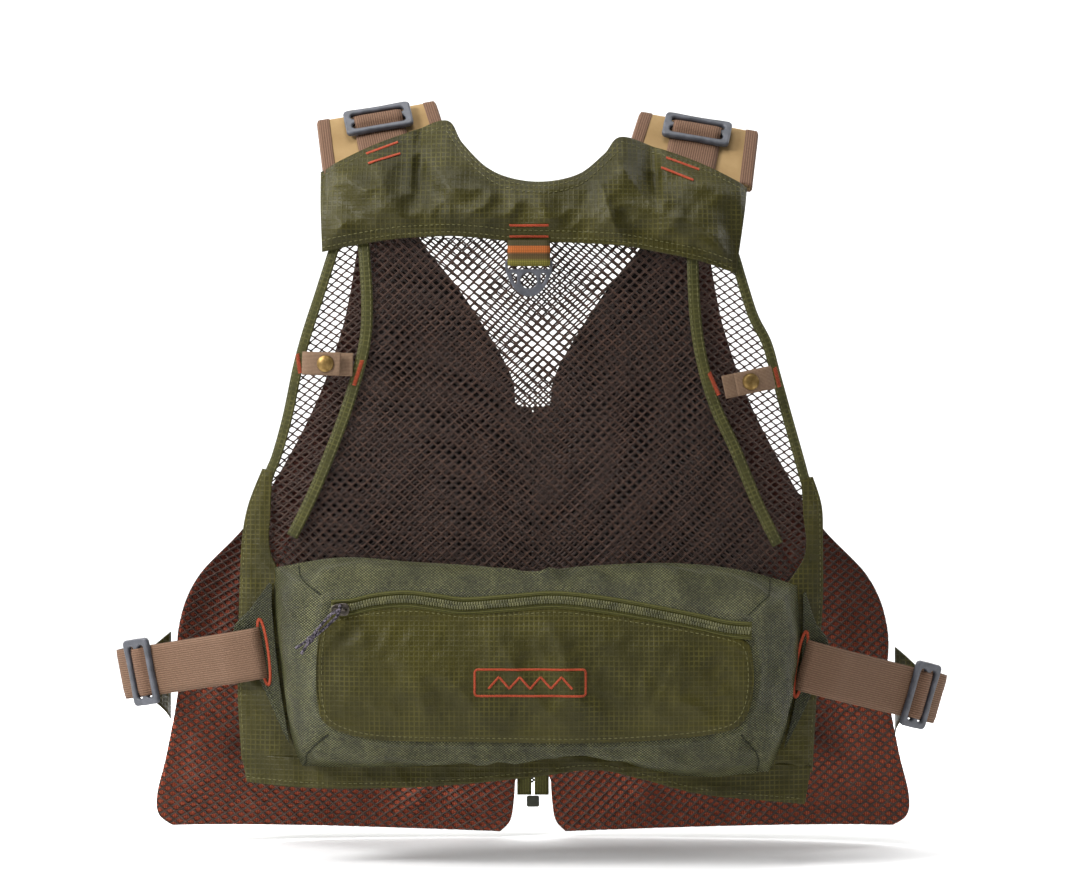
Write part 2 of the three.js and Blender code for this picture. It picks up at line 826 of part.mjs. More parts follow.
function netRing() {
  const half = [
    [0, -26.4],
    [6, -25],
    [11, -20.5],
    [15.4, -12],
    [17.4, -6],
    [17, 2.2],
  ];
  const left = half.slice(1).reverse().map(([x, z]) => [-x, z]);
  const shape = new THREE.Shape([...half, ...left].map((p) => new THREE.Vector2(...p)));
  shape.holes.push(roundedRect(new THREE.Path(), 30.4, 4.6, 0.8, 0, -4.1));
  shape.holes.push(new THREE.Path(circle(6, 16, 0, -14.6)));
  for (const side of [-1, 1]) {
    const corners = [
      [8.6, -9.4],
      [12.8, -9],
      [11.6, -14.2],
      [9.2, -18],
      [8.6, -14],
    ].map(([x, z]) => new THREE.Vector2(side * x, z));
    shape.holes.push(new THREE.Path(corners));
  }
  const geometry = plate(shape, 3.5).translate(0, 0, -1.75).rotateX(Math.PI / 2);
  add("net_ring", geometry, GREY_PLASTIC).position.set(RING.x, RING.y, RING.z);

  const radius = 3.7;
  const top = 9.5;
  const turn = Array.from({ length: 9 }, (_, i) => Math.PI + (Math.PI * i) / 8);
  const loop = [
    [-radius, top],
    ...turn.map((a) => [radius * Math.cos(a), radius * Math.sin(a)]),
    [radius, top],
  ];
  const webbing = add("net_ring_webbing", strip(loop, CLOTH, 29, SIDEWAYS), LOOP_WEB);
  webbing.position.set(RING.x, RING.y, RING.z);
}

// ---- Snap tabs ---------------------------------------------------------------------------

// Each tab is sewn to the armhole binding and snaps onto a base sewn to the seam tape.
// In the group a distance towards the middle of the back is along X, and -Y faces out.
const SNAPS = {
  left: { x: -169, z: -183, lean: 2 },
  right: { x: 176, z: -193, lean: 12 },
};
const SNAP_AT = 19;
const TAB_HEIGHT = 17;
const BUTTON = [
  [0, 0],
  [3, 0],
  [3, 0.7],
  [1.8, 1.1],
  [2.1, 2.2],
  [0, 2.4],
].map((p) => new THREE.Vector2(...p));

function snapTab(name, side) {
  const { x, z, lean } = SNAPS[name];
  const group = new THREE.Group();
  const inwards = -side;
  group.position.set(x, backY(x, z) - 3 * LAYER - 2 * CLOTH - GAP, z);
  const slope = Math.atan2(backY(x + inwards * 40, z) - backY(x, z), 40);
  const droop = THREE.MathUtils.degToRad(lean);
  group.rotation.set(0, inwards * droop, inwards * slope);
  vest.add(group);
  const tab = [
    [0.6 * inwards, 0],
    [8 * inwards, -3],
    [30 * inwards, -3.6],
  ];
  const flat = [X, Y, Z];
  add(name + "_snap_strap", strip(tab, CLOTH, TAB_HEIGHT, flat), WEB, group);
  const base = [
    [12 * inwards, 2.2],
    [38 * inwards, 2.2],
  ];
  const stud = new THREE.LatheGeometry(BUTTON, 12).rotateX(Math.PI);
  stud.translate(SNAP_AT * inwards, 2.2 - CLOTH / 2 + 0.2, 0);
  add(name + "_snap_base", join(strip(base, CLOTH, TAB_HEIGHT, flat), stud), WEB, group);
  const dome = [
    [0, 0],
    [SNAP_RADIUS, 0],
    [SNAP_RADIUS, 0.6],
    [5, 1.6],
    [2.6, 2.1],
    [0, 2.2],
  ].map((p) => new THREE.Vector2(...p));
  const cap = add(name + "_snap_cap", new THREE.LatheGeometry(dome, 20), BRASS, group);
  cap.rotation.x = Math.PI;
  cap.position.set(SNAP_AT * inwards, -3.35 - CLOTH / 2 - GAP, 0);
}

// ---- Front -------------------------------------------------------------------------------

// The right half's edges; the left half mirrors them.
const FRONT_INNER = [
  [84, -86],
  [62, -115],
  [40, -147],
  [18, -186],
  [14, -214],
  [14, -290],
  [14, -370],
  [14, -440],
  [14, -500],
  [19, -530],
  [40, -549],
];
const FRONT_OUTER = [
  [138, -90],
  [142, -122],
  [148, -155],
  [165, -208],
  [190, -262],
  [222, -308],
  [256, -350],
  [275, -392],
  [279, -440],
  [283, -490],
  [281, -538],
];
const WINGS = { left: -422, right: -434 };

function frontHalf(name, side) {
  const inner = mirrored(FRONT_INNER, side);
  const outer = mirrored(FRONT_OUTER, side);
  const columns = 8;
  add(name + "_front_mesh", cloth(inner, outer, columns, onFront(0)), MESH);
  add(name + "_front_shell", cloth(inner, outer, columns, onFront(1)), RIPSTOP);
  frontWing(name, side);
}

// A triangle of cloth from the front's outer edge to the end of the side strap, which leans.
function frontWing(name, side) {
  const z = WINGS[name];
  const drop = THREE.MathUtils.degToRad(SLOTS[name].drop);
  const [strapEnd] = STRAP_PATH[STRAP_PATH.length - 1];
  const reach = Math.abs(SLOTS[name].x) + strapEnd * Math.cos(drop) - 4;
  const corners = [
    [281.5, 55, 34, 0],
    [reach, 29, 20, Math.tan(drop)],
  ];
  const normal = new THREE.Vector3(26, 15.5, 0).normalize().multiplyScalar(CLOTH);
  const grid = (out) =>
    corners.map(([x, y, half, tilt]) =>
      [-half, half].map((dz) => [
        side * (x + out * normal.x + dz * tilt),
        y + out * normal.y,
        z + dz,
      ]),
    );
  add(name + "_front_wing", slab(grid(1), grid(0)), RIPSTOP);
}

const LOWER_FACE_Y = 146; // the lower pockets' face at its inner end
const LOWER_FACE_SLOPE = 0.13; // it falls back this much per millimetre outwards
const lowerFaceY = (x) => LOWER_FACE_Y - LOWER_FACE_SLOPE * (Math.abs(x) - 24);

const spread = (s) => (1 - Math.cos(Math.PI * s)) / 2; // crowds the grid towards its edges
const smooth = (v) => {
  const u = THREE.MathUtils.clamp(v, 0, 1);
  return u * u * (3 - 2 * u);
};

// A pouch: cloth that rises from the front to a flat face within a margin of its edges.
function pouch(inner, outer, faceY, margin, openTop) {
  const columns = 12;
  const rows = 12;
  const [left, right] = [inner, outer].map(
    (pairs) => new THREE.SplineCurve(pairs.map((p) => new THREE.Vector2(...p))),
  );
  const grid = (extra) =>
    Array.from({ length: rows + 1 }, (_, row) => {
      const t = spread(row / rows);
      const [a, b] = [left.getPoint(t), right.getPoint(t)];
      const height = Math.abs(left.getPoint(1).y - left.getPoint(0).y);
      const width = Math.abs(b.x - a.x);
      const down = openTop ? 1 - t : Math.min(t, 1 - t);
      return Array.from({ length: columns + 1 }, (_, column) => {
        const s = spread(column / columns);
        const x = a.x + (b.x - a.x) * s;
        const z = a.y + (b.y - a.y) * s;
        const rise =
          smooth((Math.min(s, 1 - s) * width) / margin) * smooth((down * height) / margin);
        const [, y] = onFront(2)(x, z, 0);
        return [x, y + (faceY(x) - y) * rise + extra, z];
      });
    });
  return slab(grid(CLOTH), grid(0));
}

function lowerPocket(name, side) {
  const inner = mirrored(
    [
      [24, -298],
      [24, -372],
      [24, -440],
      [30, -515],
    ],
    side,
  );
  const outer = mirrored(
    [
      [216, -324],
      [250, -376],
      [257, -440],
      [258, -515],
    ],
    side,
  );
  const pocket = pouch(inner, outer, lowerFaceY, 26, false);
  add(name + "_lower_pocket", pocket, RIPSTOP);
  const group = new THREE.Group();
  const start = new THREE.Vector3(side * 58, lowerFaceY(58) + CLOTH + GAP, -334);
  const end = new THREE.Vector3(side * 200, lowerFaceY(200) + CLOTH + GAP, -354);
  const forwards = end.clone().sub(start).normalize();
  const inwards = new THREE.Vector3(0, -1, 0).addScaledVector(forwards, forwards.y).normalize();
  // The zip's X is along it and its -Y faces out, so its Z follows from the two.
  const basis = new THREE.Matrix4().makeBasis(
    forwards,
    inwards,
    new THREE.Vector3().crossVectors(forwards, inwards),
  );
  group.quaternion.setFromRotationMatrix(basis);
  group.position.copy(start);
  vest.add(group);
  zipChain(name + "_pocket_zip", start.distanceTo(end), group);
  const slider = zipSlider(name + "_pocket_zip_slider", 8, group);
  // The pull hangs straight down, whichever way up the zip's frame is.
  const fall = Math.atan2(start.z - end.z, Math.abs(end.x - start.x));
  const turn = side > 0 ? Math.PI : 0;
  cordPull(name + "_pocket_zip_pull", slider, group, { turn, lean: side * fall });
}

function chestPocket(name, side) {
  const faceY = (x) => 124 - 0.07 * (Math.abs(x) - 36);
  const inner = mirrored(
    [
      [44, -166],
      [36, -210],
      [34, -264],
    ],
    side,
  );
  const outer = mirrored(
    [
      [134, -166],
      [142, -210],
      [146, -264],
    ],
    side,
  );
  add(name + "_chest_pocket", pouch(inner, outer, faceY, 16, true), RIPSTOP);
  const flap = [
    [0.4, 0],
    [12, 0.5],
    [19, -1.5],
    [22, -7],
    [22, -36],
  ];
  const lid = add(name + "_chest_flap", strip(flap, CLOTH, 98, SIDEWAYS), SAGE);
  lid.position.set(side * 88, FLAP_HINGE.y, FLAP_HINGE.z);
  lid.rotation.z = -side * Math.atan(0.07);
}
const FLAP_HINGE = { y: 107.5, z: -156 };

// The separating zip down the middle of the front, straight in side view.
const FRONT_ZIP_TOP = -216;
const FRONT_ZIP_BOTTOM = -520;

function frontZip() {
  const y = (z) => frontY(0, z) + LAYER;
  const halfCoil = ZIP_COIL / 2;
  const group = new THREE.Group();
  const top = new THREE.Vector3(0, y(FRONT_ZIP_TOP), FRONT_ZIP_TOP);
  const bottom = new THREE.Vector3(0, y(FRONT_ZIP_BOTTOM), FRONT_ZIP_BOTTOM);
  const length = top.distanceTo(bottom);
  const down = bottom.clone().sub(top).normalize();
  // X runs down the zip, -Y faces out and Z is to the wearer's left.
  const back = new THREE.Vector3(0, down.z, -down.y);
  const basis = new THREE.Matrix4().makeBasis(down, back, new THREE.Vector3().crossVectors(down, back));
  group.quaternion.setFromRotationMatrix(basis);
  group.position.copy(top);
  vest.add(group);
  for (const [name, side] of [
    ["left", 1],
    ["right", -1],
  ]) {
    const half = new THREE.BoxGeometry(length, CLOTH, 12.6);
    half.translate(length / 2, -CLOTH / 2, side * 6.6);
    const teeth = new THREE.BoxGeometry(length - 8, 2.2, halfCoil - 0.15);
    teeth.translate(length / 2 - 4, -1, (side * (halfCoil + 0.15)) / 2);
    add(name + "_front_zip_tape", join(half, teeth), ZIP_GREEN, group);
  }
  const box = roundedRect(new THREE.Shape(), 9, 10, 1.5);
  const retainer = plate(box, 2.4).rotateX(Math.PI / 2).translate(length + 5, 0, 0);
  add("front_zip_box", retainer, GREY_PLASTIC, group);
  const slider = zipSlider("front_zip_slider", 8, group);
  cordPull("front_zip_pull", slider, group, { turn: -Math.PI / 2, loop: LOOP_AS_BAIL });
}

// ---- Assembly ----------------------------------------------------------------------------

backBody();
yoke();
tapes();
sidePanels();
hemBand();
backPocket();
backZip();
strapTabs();
netRing();
frontZip();
for (const [name, side] of [
  ["left", -1],
  ["right", 1],
]) {
  sideStrap(name, side);
  shoulder(name, side);
  snapTab(name, side);
  frontHalf(name, side);
  lowerPocket(name, side);
  chestPocket(name, side);
}

export default vest;
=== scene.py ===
# A fly fisher's mesh vest, dressed in cloth, net, webbing and hardware round its CAD frame.
# Shapes are worked out in millimetres in the row frame and written to Blender in metres.
import math

import bpy
import numpy as np
from mathutils import Matrix, Vector, noise


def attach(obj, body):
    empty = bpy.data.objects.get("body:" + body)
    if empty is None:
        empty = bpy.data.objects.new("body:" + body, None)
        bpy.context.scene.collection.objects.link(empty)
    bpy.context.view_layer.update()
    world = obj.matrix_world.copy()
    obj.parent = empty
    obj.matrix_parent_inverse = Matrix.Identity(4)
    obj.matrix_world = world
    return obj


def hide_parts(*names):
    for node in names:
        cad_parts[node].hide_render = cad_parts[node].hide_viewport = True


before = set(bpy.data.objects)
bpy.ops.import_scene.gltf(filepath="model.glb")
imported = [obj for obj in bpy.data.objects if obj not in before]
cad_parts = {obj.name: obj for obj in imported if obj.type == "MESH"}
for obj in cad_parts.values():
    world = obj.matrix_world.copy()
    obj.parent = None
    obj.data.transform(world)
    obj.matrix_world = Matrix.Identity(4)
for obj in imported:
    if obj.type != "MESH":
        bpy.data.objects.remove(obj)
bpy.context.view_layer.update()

MM = 0.001

# ---- Camera, light and floor -------------------------------------------------------------

CAMERA_DISTANCE = 2.5
CAMERA_HEIGHT = -0.245
FLOOR = -0.553


def studio():
    scene = bpy.context.scene
    camera = bpy.data.objects.new("camera", bpy.data.cameras.new("camera"))
    camera.data.lens = 110.8
    camera.data.sensor_width = 36
    camera.data.clip_end = 50
    camera.location = (0, -CAMERA_DISTANCE, CAMERA_HEIGHT)
    camera.rotation_euler = (math.radians(90), 0, 0)
    scene.collection.objects.link(camera)
    scene.camera = camera
    scene.view_settings.view_transform = "Standard"

    world = bpy.data.worlds.new("studio")
    world.use_nodes = True
    world.node_tree.nodes["Background"].inputs["Color"].default_value = (1, 1, 1, 1)
    world.node_tree.nodes["Background"].inputs["Strength"].default_value = 0.22
    scene.world = world
    for name, place, size, power, aim in [
        ("key", (-1.95, -1.15, 1.1), 0.8, 79, (0, 0, -0.3)),
        ("fill", (1.9, -1.6, 0.6), 1.0, 3, (0, 0, -0.3)),
        ("top", (-0.2, -0.5, 2.0), 1.2, 38, (0, 0, -0.3)),
        ("floor_glow", (0.0, 1.3, 0.1), 1.6, 21, (0, 0, -0.6)),
        ("backdrop_left", (-2.2, 1.1, 1.3), 1.8, 62, (0, 3.2, 0.2)),
        ("backdrop_right", (2.2, 1.1, 1.3), 1.8, 62, (0, 3.2, 0.2)),
    ]:
        light = bpy.data.lights.new(name, "AREA")
        light.size = size
        light.energy = power
        lamp = bpy.data.objects.new(name, light)
        lamp.location = place
        lamp.rotation_euler = (Vector(aim) - Vector(place)).to_track_quat("-Z", "Y").to_euler()
        scene.collection.objects.link(lamp)


def cyclorama():
    rise = [(y, 0.0) for y in (-1.8, -0.9, 0, 1.1, 2.0)]
    bend = [(2.2 + 1.4 * math.sin(a), 1.4 - 1.4 * math.cos(a))
            for a in np.linspace(0, math.pi / 2, 12)]
    profile = rise + bend + [(3.6, 6.0)]
    verts = [(x, y, FLOOR + z) for y, z in profile for x in (-2.6, 2.6)]
    faces = [(2 * i, 2 * i + 1, 2 * i + 3, 2 * i + 2) for i in range(len(profile) - 1)]
    mesh = bpy.data.meshes.new("floor")
    mesh.from_pydata(verts, [], faces)
    mesh.polygons.foreach_set("use_smooth", [True] * len(faces))
    floor = bpy.data.objects.new("floor", mesh)
    bpy.context.scene.collection.objects.link(floor)
    mesh.materials.append(plain("studio_floor", (0.93, 0.93, 0.93), 0.9))


# ---- Material nodes ----------------------------------------------------------------------


class Nodes:
    """A short way to write a material's node tree."""

    def __init__(self, name):
        self.material = bpy.data.materials.new(name)
        self.material.use_nodes = True
        self.tree = self.material.node_tree
        self.shader = self.tree.nodes["Principled BSDF"]

    def new(self, kind, **settings):
        node = self.tree.nodes.new("ShaderNode" + kind)
        for key, value in settings.items():
            setattr(node, key, value)
        return node

    def link(self, value, socket):
        if isinstance(value, bpy.types.NodeSocket):
            self.tree.links.new(value, socket)
        else:
            socket.default_value = value

    def math(self, operation, *values):
        node = self.new("Math", operation=operation)
        for value, socket in zip(values, node.inputs):
            self.link(value, socket)
        return node.outputs[0]

    def noise(self, where, scale, detail=3):
        node = self.new("TexNoise")
        self.link(where, node.inputs["Vector"])
        for key, value in (("Scale", scale), ("Detail", detail), ("Roughness", 0.55)):
            node.inputs[key].default_value = value
        return node.outputs["Fac"]

    def stretch(self, value, low, high, to_low=0.0, to_high=1.0):
        node = self.new("MapRange")
        for key, given in zip(range(5), (value, low, high, to_low, to_high)):
            self.link(given, node.inputs[key])
        return node.outputs[0]

    def mix(self, share, first, second):
        node = self.new("Mix", data_type="RGBA")
        self.link(share, node.inputs[0])
        self.link(rgba(first), node.inputs[6])
        self.link(rgba(second), node.inputs[7])
        return node.outputs[2]

    def where(self, uv=False):
        """The place in metres, then its parts across and along, from the UV map or from X and Z."""
        if uv:
            place = self.new("UVMap", uv_map="cloth").outputs["UV"]
        else:
            place = self.new("TexCoord").outputs["Object"]
        parts = self.new("SeparateXYZ")
        self.link(place, parts.inputs[0])
        return place, parts.outputs[0], parts.outputs[1 if uv else 2]

    def wave(self, value, pitch, phase=0.0):
        """A sine wave from 0 to 1 with that pitch in metres."""
        turn = self.math("MULTIPLY_ADD", value, 2 * math.pi / pitch, phase)
        return self.math("MULTIPLY_ADD", self.math("SINE", turn), 0.5, 0.5)

    def finish(self, colour, rough, height=None, depth=0.0002, gloss=0.2, **uniform):
        self.link(colour, self.shader.inputs["Base Color"])
        self.link(rough, self.shader.inputs["Roughness"])
        self.shader.inputs["Specular IOR Level"].default_value = gloss
        if height is not None:
            bump = self.new("Bump")
            bump.inputs["Distance"].default_value = depth
            bump.inputs["Strength"].default_value = 1.0
            self.link(height, bump.inputs["Height"])
            self.link(bump.outputs[0], self.shader.inputs["Normal"])
        for key, value in uniform.items():
            self.shader.inputs[key.replace("_", " ").title()].default_value = value
        return self.material


def rgba(colour):
    if isinstance(colour, tuple) and len(colour) == 3:
        return (*colour, 1.0)
    return colour


def srgb(red, green, blue):
    """A linear colour from the 0 to 255 values that a screen shows."""
    def linear(value):
        share = value / 255
        return share / 12.92 if share <= 0.04045 else ((share + 0.055) / 1.055) ** 2.4

    return tuple(linear(value) for value in (red, green, blue))


def plain(name, colour, rough):
    n = Nodes(name)
    return n.finish(rgba(colour), rough)


def ripstop(name, dark, light, uv=False):
    """Thin plain-woven nylon with a grid of thicker threads, creased and a little shiny."""
    n = Nodes(name)
    place, across, up = n.where(uv)
    pitch = 0.0036
    line_x = n.stretch(n.wave(across, pitch), 0.72, 0.95)
    line_z = n.stretch(n.wave(up, pitch), 0.72, 0.95)
    grid = n.math("MAXIMUM", line_x, line_z)
    weave = n.math("MULTIPLY", n.wave(across, 0.0009), n.wave(up, 0.0009))
    patches = n.stretch(n.noise(place, 18, 4), 0.38, 0.64)
    # lighter, shinier patches: partly the cloth's own uneven tone and partly sheen painted on, as on
    # lit folds
    tone_and_sheen_patches = n.mix(n.stretch(patches, 0, 1, 0.3, 0.8), dark, light)
    threads = n.math("MULTIPLY", grid, n.stretch(n.noise(place, 50, 3), 0.38, 0.66, 0.1, 0.6))
    colour = n.mix(threads, tone_and_sheen_patches, tuple(min(1, c * 1.9) for c in light))
    height = n.math("MULTIPLY_ADD", grid, 0.7, n.math("MULTIPLY", weave, 0.3))
    crumple = n.noise(place, 120, 3)
    height = n.math("MULTIPLY_ADD", crumple, 1.8, height)
    return n.finish(colour, n.stretch(patches, 0, 1, 0.50, 0.38), height, 0.00025, gloss=0.17)


def oxford(name, dark, light):
    """Coarse basket weave whose thick yarns catch the light in patches and upright streaks."""
    n = Nodes(name)
    place, across, up = n.where()
    pitch = 0.0024
    wobble = n.math("MULTIPLY", n.noise(place, 60, 2), 0.0014)
    across = n.math("ADD", across, wobble)
    warp = n.wave(across, pitch)
    weft = n.wave(up, pitch * 0.8, 1.3)
    over = n.math("MULTIPLY", warp, weft)
    back = n.math("MULTIPLY", n.math("SUBTRACT", 1.0, warp), n.math("SUBTRACT", 1.0, weft))
    yarn = n.math("MAXIMUM", over, back)
    drawn_out = n.new("Mapping")
    n.link(place, drawn_out.inputs["Vector"])
    drawn_out.inputs["Scale"].default_value = (1.0, 1.0, 0.22)
    streaks = n.stretch(n.noise(drawn_out.outputs[0], 60, 4), 0.38, 0.66, 0.5, 1.0)
    flecks = n.stretch(n.noise(place, 420, 3), 0.32, 0.66, 0.4, 1.2)
    share = n.math("MULTIPLY", n.stretch(yarn, 0.25, 0.7), n.math("MULTIPLY", streaks, flecks))
    height = n.math("MULTIPLY_ADD", n.noise(place, 300, 2), 0.4, yarn)
    return n.finish(n.mix(share, dark, light), 0.42, height, 0.0006, gloss=0.25)


def unshaded_share(n, across, up):
    """0 in the front's middle, where shade is painted in, and 1 towards its armholes, sides and hem,
    where the rust shows unshaded.
    """
    inner_edge = n.math("MULTIPLY_ADD", up, -0.30, 0.085)
    sideways = n.stretch(n.math("SUBTRACT", n.math("ABSOLUTE", across), inner_edge), -0.012, 0.022)
    sideways = n.math("MULTIPLY", sideways, n.stretch(up, -0.30, -0.44, 0.1, 1.0))
    return n.math("MAXIMUM", sideways, n.stretch(up, -0.468, -0.492))


def knit(name, dark, light, middle):
    """The front's lining, with painted shade: darker towards its middle, where the inside of the vest
    is in shadow.
    """
    n = Nodes(name)
    place, across, up = n.where()
    pitch = 0.0016
    loops = n.math("MULTIPLY", n.wave(across, pitch), n.wave(up, pitch * 0.7))
    fuzz = n.noise(place, 700, 2)
    share = n.math("MULTIPLY", n.stretch(loops, 0.05, 0.7), n.stretch(fuzz, 0.3, 0.7, 0.6, 1.0))
    # painted shade: the middle colour stands for the shadow inside the vest, and the rust knit shows
    # towards the edges
    colour = n.mix(unshaded_share(n, across, up), middle, n.mix(share, dark, light))
    return n.finish(colour, 0.8, loops, 0.0003)


def yarn_net(name, dark, light, painted_shade_middle=False):
    """The twisted, slightly shiny yarn of the net."""
    n = Nodes(name)
    place, across, up = n.where()
    twist = n.wave(n.math("ADD", across, up), 0.0011)
    fuzz = n.noise(place, 900, 3)
    patch = n.stretch(n.noise(place, 120, 3), 0.35, 0.7)
    lit = n.math("MULTIPLY_ADD", twist, 0.4, 0.45)
    share = n.math("MULTIPLY", lit, n.stretch(fuzz, 0.35, 0.7, 0.5, 1.2))
    share = n.math("MULTIPLY", share, n.stretch(patch, 0, 1, 0.6, 1.25))
    # painted shade: the front's net is darkened towards its middle, where the inside of the vest is in
    # shadow
    if painted_shade_middle:
        outer = n.stretch(unshaded_share(n, across, up), 0, 1, 0.25, 1.0)
        share = n.math("MULTIPLY", share, outer)
    height = n.math("MULTIPLY_ADD", twist, 0.5, fuzz)
    return n.finish(n.mix(share, dark, light), 0.5, height, 0.00025, gloss=0.28)


def webbing(name, dark, light, rib=0.0017):
    """Woven webbing: ribs that run along it, crossed by fine picks."""
    n = Nodes(name)
    place, across, along = n.where(uv=True)
    ribs = n.wave(across, rib)
    picks = n.wave(along, 0.0011)
    herring = n.math("MULTIPLY", ribs, n.math("MULTIPLY_ADD", picks, 0.5, 0.5))
    fuzz = n.noise(place, 500, 3)
    lit = n.stretch(herring, 0.05, 0.8, 0.25, 1.0)
    share = n.math("MULTIPLY", lit, n.stretch(fuzz, 0.3, 0.7, 0.7, 1.1))
    height = n.math("MULTIPLY_ADD", fuzz, 0.35, herring)
    return n.finish(n.mix(share, dark, light), 0.75, height, 0.0003)


def striped_webbing(name):
    """The net ring's webbing: dark olive, orange, brown and yellow-green bands, from its top."""
    n = Nodes(name)
    across, up = n.where()[1:]
    ramp = n.new("ValToRGB")
    n.link(n.stretch(up, -0.095, -0.114), ramp.inputs[0])
    bands = [
        (0.0, (58, 52, 26)), (0.16, (58, 52, 26)), (0.22, (176, 92, 34)), (0.42, (176, 92, 34)),
        (0.50, (78, 58, 32)), (0.68, (92, 74, 40)), (0.78, (128, 122, 48)), (1.0, (112, 106, 42)),
    ]
    stops = ramp.color_ramp.elements
    while len(stops) < len(bands):
        stops.new(0.5)
    for stop, (share, colour) in zip(stops, bands):
        stop.position = share
        stop.color = rgba(srgb(*colour))
    picks = n.math("MULTIPLY", n.wave(across, 0.0016), n.wave(up, 0.0012))
    colour = n.mix(n.stretch(picks, 0.05, 0.6, 0.5, 0.0), ramp.outputs[0], srgb(52, 44, 22))
    return n.finish(colour, 0.7, picks, 0.0003)


def padding(name, dark, light):
    n = Nodes(name)
    place, across, along = n.where(uv=True)
    weave = n.math("MULTIPLY", n.wave(across, 0.0008), n.wave(along, 0.0008))
    soft = n.stretch(n.noise(place, 35, 3), 0.3, 0.7)
    share = n.math("MULTIPLY_ADD", weave, 0.25, n.math("MULTIPLY", soft, 0.6))
    return n.finish(n.mix(share, dark, light), 0.8, weave, 0.00012)


def moulded(name, dark, light, rough=0.42):
    n = Nodes(name)
    place = n.where()[0]
    mottle = n.stretch(n.noise(place, 160, 3), 0.3, 0.7)
    grain = n.noise(place, 1400, 2)
    rough_here = n.stretch(mottle, 0, 1, rough, rough + 0.12)
    return n.finish(n.mix(mottle, dark, light), rough_here, grain, 0.00005, gloss=0.5)


def metal(name, dark, light, rough=0.3):
    n = Nodes(name)
    place = n.where()[0]
    worn = n.stretch(n.noise(place, 300, 4), 0.3, 0.7)
    scratches = n.noise(place, 1800, 2)
    rough_here = n.stretch(worn, 0, 1, rough + 0.15, rough)
    return n.finish(n.mix(worn, dark, light), rough_here, scratches, 0.00003, metallic=1.0)


def thread(name, dark, light):
    n = Nodes(name)
    place = n.where()[0]
    fibre = n.noise(place, 1500, 2)
    return n.finish(n.mix(n.stretch(fibre, 0.3, 0.7), dark, light), 0.5, fibre, 0.0001)


def twisted_cord(name, dark, light):
    n = Nodes(name)
    place = n.where()[0]
    flecks = n.stretch(n.noise(place, 650, 3), 0.46, 0.6)
    return n.finish(n.mix(flecks, dark, light), 0.6, flecks, 0.0003)


RIPSTOP = ripstop("ripstop_green", srgb(29, 28, 8), srgb(60, 56, 21))
FACE_RIPSTOP = ripstop("ripstop_olive", srgb(38, 36, 10), srgb(60, 56, 20))
BINDING = ripstop("binding_green", srgb(40, 41, 18), srgb(70, 68, 34), uv=True)
SAGE = oxford("sage_oxford", srgb(12, 13, 3), srgb(118, 118, 78))
SAGE_DARK = oxford("sage_oxford_tabs", srgb(16, 18, 7), srgb(92, 93, 58))
NET = yarn_net("brown_net", srgb(22, 12, 8), srgb(80, 55, 42))
NET_INNER = yarn_net("brown_net_inside", srgb(16, 9, 6), srgb(58, 40, 31))
# painted shade: this net is darkened towards its middle, where the inside of the vest is in shadow
NET_FRONT = yarn_net("brown_net_front", srgb(34, 22, 18), srgb(112, 84, 72), painted_shade_middle=True)
# painted shade: the third colour darkens the lining's middle, where the inside of the vest is in shadow
RUST = knit("rust_lining", srgb(140, 62, 43), srgb(214, 114, 82), srgb(18, 12, 10))
TAN = padding("tan_padding", srgb(138, 112, 74), srgb(168, 141, 99))
WEB = webbing("taupe_webbing", srgb(72, 52, 40), srgb(128, 98, 78))
WEB_ELASTIC = webbing("taupe_elastic", srgb(78, 57, 43), srgb(127, 99, 79), rib=0.0016)
TWILL = webbing("taupe_twill", srgb(92, 72, 56), srgb(136, 110, 88), rib=0.0010)
LOOP_WEB = striped_webbing("striped_webbing")
TAPE = webbing("zip_tape", srgb(34, 35, 13), srgb(92, 90, 44), rib=0.0013)
COIL = moulded("zip_coil", srgb(56, 56, 28), srgb(98, 96, 58), 0.4)
# painted shade: a dark thread laid along the gusset's seams stands for the shadow in their folds
SEAM_SHADE = thread("painted_seam_shadow", srgb(22, 24, 12), srgb(44, 46, 28))
PLASTIC = moulded("grey_plastic", srgb(58, 60, 66), srgb(84, 86, 94))
BLACK_PLASTIC = moulded("dark_plastic", srgb(34, 36, 26), srgb(50, 52, 38))
BRASS = metal("snap_brass", srgb(104, 82, 46), srgb(148, 122, 76), 0.40)
GUNMETAL = metal("zip_metal", srgb(50, 47, 45), srgb(116, 108, 100), 0.3)
ORANGE_THREAD = thread("orange_thread", srgb(136, 48, 26), srgb(176, 78, 48))
GREEN_THREAD = thread("green_thread", srgb(78, 76, 44), srgb(116, 112, 72))
SAGE_THREAD = thread("sage_thread", srgb(52, 54, 36), srgb(112, 112, 86))
CORD = twisted_cord("cord_grey_purple", srgb(34, 30, 36), srgb(116, 108, 120))

# Radii of the stitches, in millimetres.
FINE_STITCH = 0.26
STITCH = 0.28
BOLD_STITCH = 0.3
SATIN_STITCH = 0.34

# ---- The torso's two surfaces, as the frame has them -------------------------------------

LAYER = 2.2
BACK_HALF_WIDTH = 285
FRONT_HALF_WIDTH = 310
BACK_DEPTH = [
    (-560, 104), (-430, 98), (-320, 100), (-220, 108), (-120, 112), (-70, 104), (-35, 86), (0, 58),
    (20, 40),
]
FRONT_DEPTH = [(-560, 98), (-200, 106), (-150, 101), (-90, 84), (-40, 60), (0, 40)]


def depth(profile, z):
    heights, depths = zip(*profile)
    return sum(np.interp(z + dz, heights, depths) for dz in (-16, -8, 0, 8, 16)) / 5


def section(x, half_width):
    share = np.minimum(np.abs(x) / half_width, 1)
    return (1 - share**2.3) ** (1 / 2.3)


def back_y(x, z):
    return -depth(BACK_DEPTH, z) * section(x, BACK_HALF_WIDTH)


def front_y(x, z):
    return depth(FRONT_DEPTH, z) * section(x, FRONT_HALF_WIDTH)


